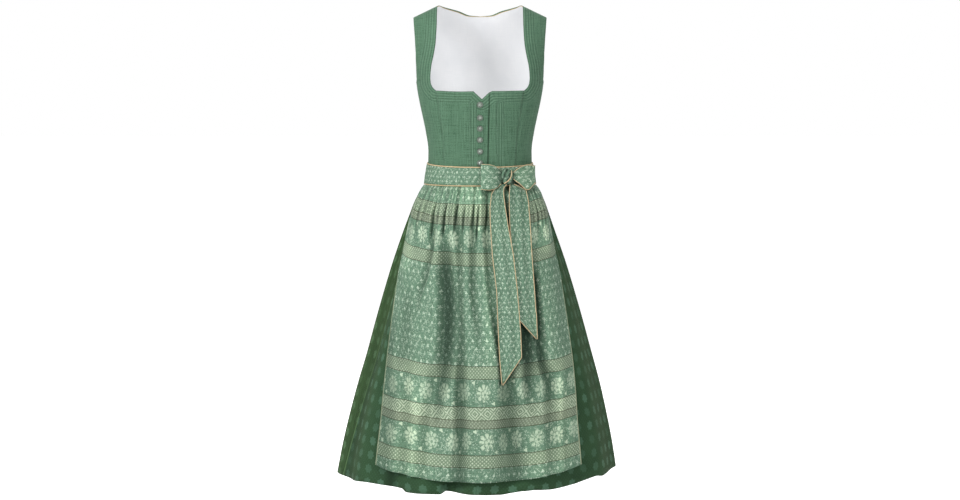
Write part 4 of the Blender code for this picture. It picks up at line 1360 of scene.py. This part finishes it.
def bedPoint(x, level, out):
    # What the bow lies on: the band, then a lean over the gathers, then the apron's crests
    if level <= bed["low"]:
        return atDistance(skirt, x, level, crest(level) + out)
    if level >= bed["high"]:
        return atDistance(band, x, level, out)
    low = atDistance(skirt, x, bed["low"], crest(bed["low"]) + out)
    high = atDistance(band, x, bed["high"], out)
    return low.lerp(high, (level - bed["low"]) / (bed["high"] - bed["low"]))


def loopPlace(loop, across, up):
    angle = tau * across
    part = wave(angle)
    x, bottom, top = (read(loop, column, part, key="part") for column in
                      ("x", "bottom", "top"))
    soft = 0.0012 * sin(pi * up) * sin(pi * part)
    if part > 0.02:
        soft += 0.0011 * (1 - part) ** 1.5 * sin(3.5 * tau * up + 1.0)
    swell = (1 + sin(angle)) * bow["loopDepth"] / 2
    swell += soft if sin(angle) > 0 else -0.2 * soft
    return bedPoint(x, mix(bottom, top, up), bow["clearance"] + max(swell, 0))


tailRows = (-0.8606, -0.83, -0.8, -0.7621, -0.735, -0.708, -0.698, -0.6505, -0.614,
            -0.5772, -0.54, -0.5, -0.47, -0.452, -0.4353, -0.428, -0.42, -0.4135)


def tailPlace(tail, rows, across, up):
    level = between(rows, up)
    left, right = (read(tail, edge, level, curved=False) for edge in ("left", "right"))
    ruffle = 0.0012 * cos(2 * tau * across)
    pinch = 0.0008 * ease((level + 0.5) / 0.08) * sin(5 * tau * across)
    return bedPoint(mix(left, right, across), level, tail["out"] + ruffle + max(pinch, 0))


# Painted shade on each tail's upper part, in the troughs of its ruffle
def tailPaintedShade(across, up, spot):
    return 0.35 * ease((spot.z + 0.52) / 0.1) * wave(2 * tau * across)


knot = dict(
    x=(0.0506, 0.0784), z=(-0.4128, -0.379), out=(0.0006, 0.016), fullness=0.75, pinch=0.1,
    folds=2.2, slant=-0.55, foldDepth=0.16, cordAcross=(-0.62, -0.3, 0.1, 0.48, 0.7, 0.8, 0.78),
    cordUp=(-0.92, -0.8, -0.62, -0.3, 0.05, 0.4, 0.75), cord=0.0012)


def knotPoint(across, out, up):
    # Wound ribbon: creases run slanting over the knot, and in front they are painted darker as
    # shade
    crease = wave(tau * knot["folds"] * (across * 0.5 + knot["slant"] * up * 0.5) + 0.6)
    if out < 0:
        out *= 1 - knot["foldDepth"] * crease
    across *= 1 - knot["pinch"] * up * up
    x = mix(*knot["x"], 0.5 + 0.5 * across)
    spot = bedPoint(x, mix(*knot["z"], 0.5 + 0.5 * up), mix(*knot["out"], 0.5 - 0.5 * out))
    return spot, (crease if out < 0 else 0.0)


def makeKnot():
    pillow = bmesh.new()
    bmesh.ops.create_uvsphere(pillow, u_segments=64, v_segments=32, radius=1.0)
    cloth = pillow.loops.layers.uv.new("cloth")
    paintedShade = pillow.verts.layers.float.new("paintedShade")
    for vert in pillow.verts:
        full = [copysign(abs(value) ** knot["fullness"], value) for value in vert.co]
        vert.co, vert[paintedShade] = knotPoint(*full)
    for face in pillow.faces:
        for loop in face.loops:
            loop[cloth].uv = (loop.vert.co.x, loop.vert.co.z)
    pillow.normal_update()
    faceOutward(pillow)
    finishPiece("BowKnot", pillow, ribbonCloth, "bow_knot")
    points = []
    for part in even(24):
        across, up = between(knot["cordAcross"], part), between(knot["cordUp"], part)
        rounded = max(1 - abs(across) ** 2.6 - abs(up) ** 2.6, 0.02) ** (1 / 2.6)
        points.append(knotPoint(across, -rounded, up)[0] + Vector(bow["cordMove"]))
    makeCord("BowKnotCord", None, points, knot["cord"])


def bowSheet(name, width, place, across, up, marks, edges, closed=False):
    # A ribbon piece of the bow, and the cords along two of its edges
    piece = makeSheet(name, snake(name), ribbonCloth, place, across, up, bow["wall"],
                      acrossBy(width), marks=marks, closed=closed)
    return piece, [makeCord(name + "Cord" + word, None, path, bow["cord"])
                   for word, path in edges.items()]


def makeBow():
    for word, loop in loops.items():
        # Painted shade, darkest where the loop meets the knot
        def loopPaintedShade(across, up, spot):
            return loop["dark"] * (1 - wave(tau * across)) ** 2

        place, around = partial(loopPlace, loop), even(72)
        width = 2 * abs(loop["x"][-1] - loop["x"][0])
        piece, cords = bowSheet(
            "BowLoop" + word, width, place, around, even(18),
            {"paintedShade": loopPaintedShade, "crest": constant(loop["lit"])},
            {edge: [place(across, up) for across in around]
             for edge, up in (("Top", 1.0), ("Bottom", 0.0))}, True)
        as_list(cords)
    for word, tail in tails.items():
        low = tail["level"][0]
        rows = [level for level in tailRows if level >= low]
        place, up = partial(tailPlace, tail, rows), evenRows(rows, 5)
        piece, cords = bowSheet(
            "BowTail" + word, bow["tape"], place, even(24), up, {"paintedShade": tailPaintedShade},
            {edge: [place(across, part) + Vector(bow["cordMove"]) for part in up]
             for edge, across in (("Left", 0.0), ("Right", 1.0))})
        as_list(cords)
    makeKnot()


makeBow()
print("bow made")

# Floor, light and camera. Each lamp has its place, size and power.
white = (1.0, 1.0, 1.0, 1.0)
studio = dict(
    floor=-1.45, floorSize=60.0, white=0.93, glow=0.8, ambient=0.3, aim=(0, 0, -0.55),
    lights=dict(KeyLight=((-3.2, -3.2, 1.3), 1.4, 150), FillLight=((2.4, -4.2, 0.6), 2.4, 76),
                TopLight=((-0.2, -1.2, 2.8), 2.0, 40), BackLight=((0.0, 3.4, 1.2), 2.6, 60)))
view = dict(place=(0.0, -5.0, -0.117), aim=(0, 0, -0.577), lens=79.11, sensor=36.0, far=200.0)


def isSeen():
    return Wire(addNode("LightPath")["Is Camera Ray"])


def aimed(name, data, place, aim):
    thing = link(name, data)
    thing.location = place
    thing.rotation_euler = (Vector(aim) - Vector(place)).to_track_quat("-Z", "Y").to_euler()
    return thing


def makeStudio():
    sheet = bmesh.new()
    bmesh.ops.create_grid(sheet, x_segments=1, y_segments=1, size=studio["floorSize"] / 2)
    bmesh.ops.translate(sheet, vec=(0, 0, studio["floor"]), verts=sheet.verts[:])
    mesh = bpy.data.meshes.new("Floor")
    sheet.to_mesh(mesh)
    sheet.free()
    shader = startMaterial("Studio floor", 0.9)
    shader["Base Color"].default_value = (*[studio["white"]] * 3, 1.0)
    shader["Emission Color"].default_value = white
    feed(shader["Emission Strength"], isSeen() * studio["glow"])
    mesh.materials.append(desk["material"])
    link("Floor", mesh)
    world = bpy.context.scene.world = bpy.data.worlds.new("Studio")
    world.use_nodes = True
    desk["tree"] = world.node_tree
    sky = world.node_tree.nodes["Background"].inputs
    feed(sky["Strength"], isSeen() * (1.0 - studio["ambient"]) + studio["ambient"])
    sky["Color"].default_value = white
    for name, (place, size, power) in studio["lights"].items():
        lamp = bpy.data.lights.new(name, "AREA")
        lamp.size = size
        lamp.energy = power
        aimed(name, lamp, place, studio["aim"])
    lens = bpy.data.cameras.new("Camera")
    lens.lens = view["lens"]
    lens.sensor_width = view["sensor"]
    lens.clip_end = view["far"]
    bpy.context.scene.camera = aimed("Camera", lens, view["place"], view["aim"])


makeStudio()
bpy.context.scene.view_settings.view_transform = "Standard"
print("studio made")
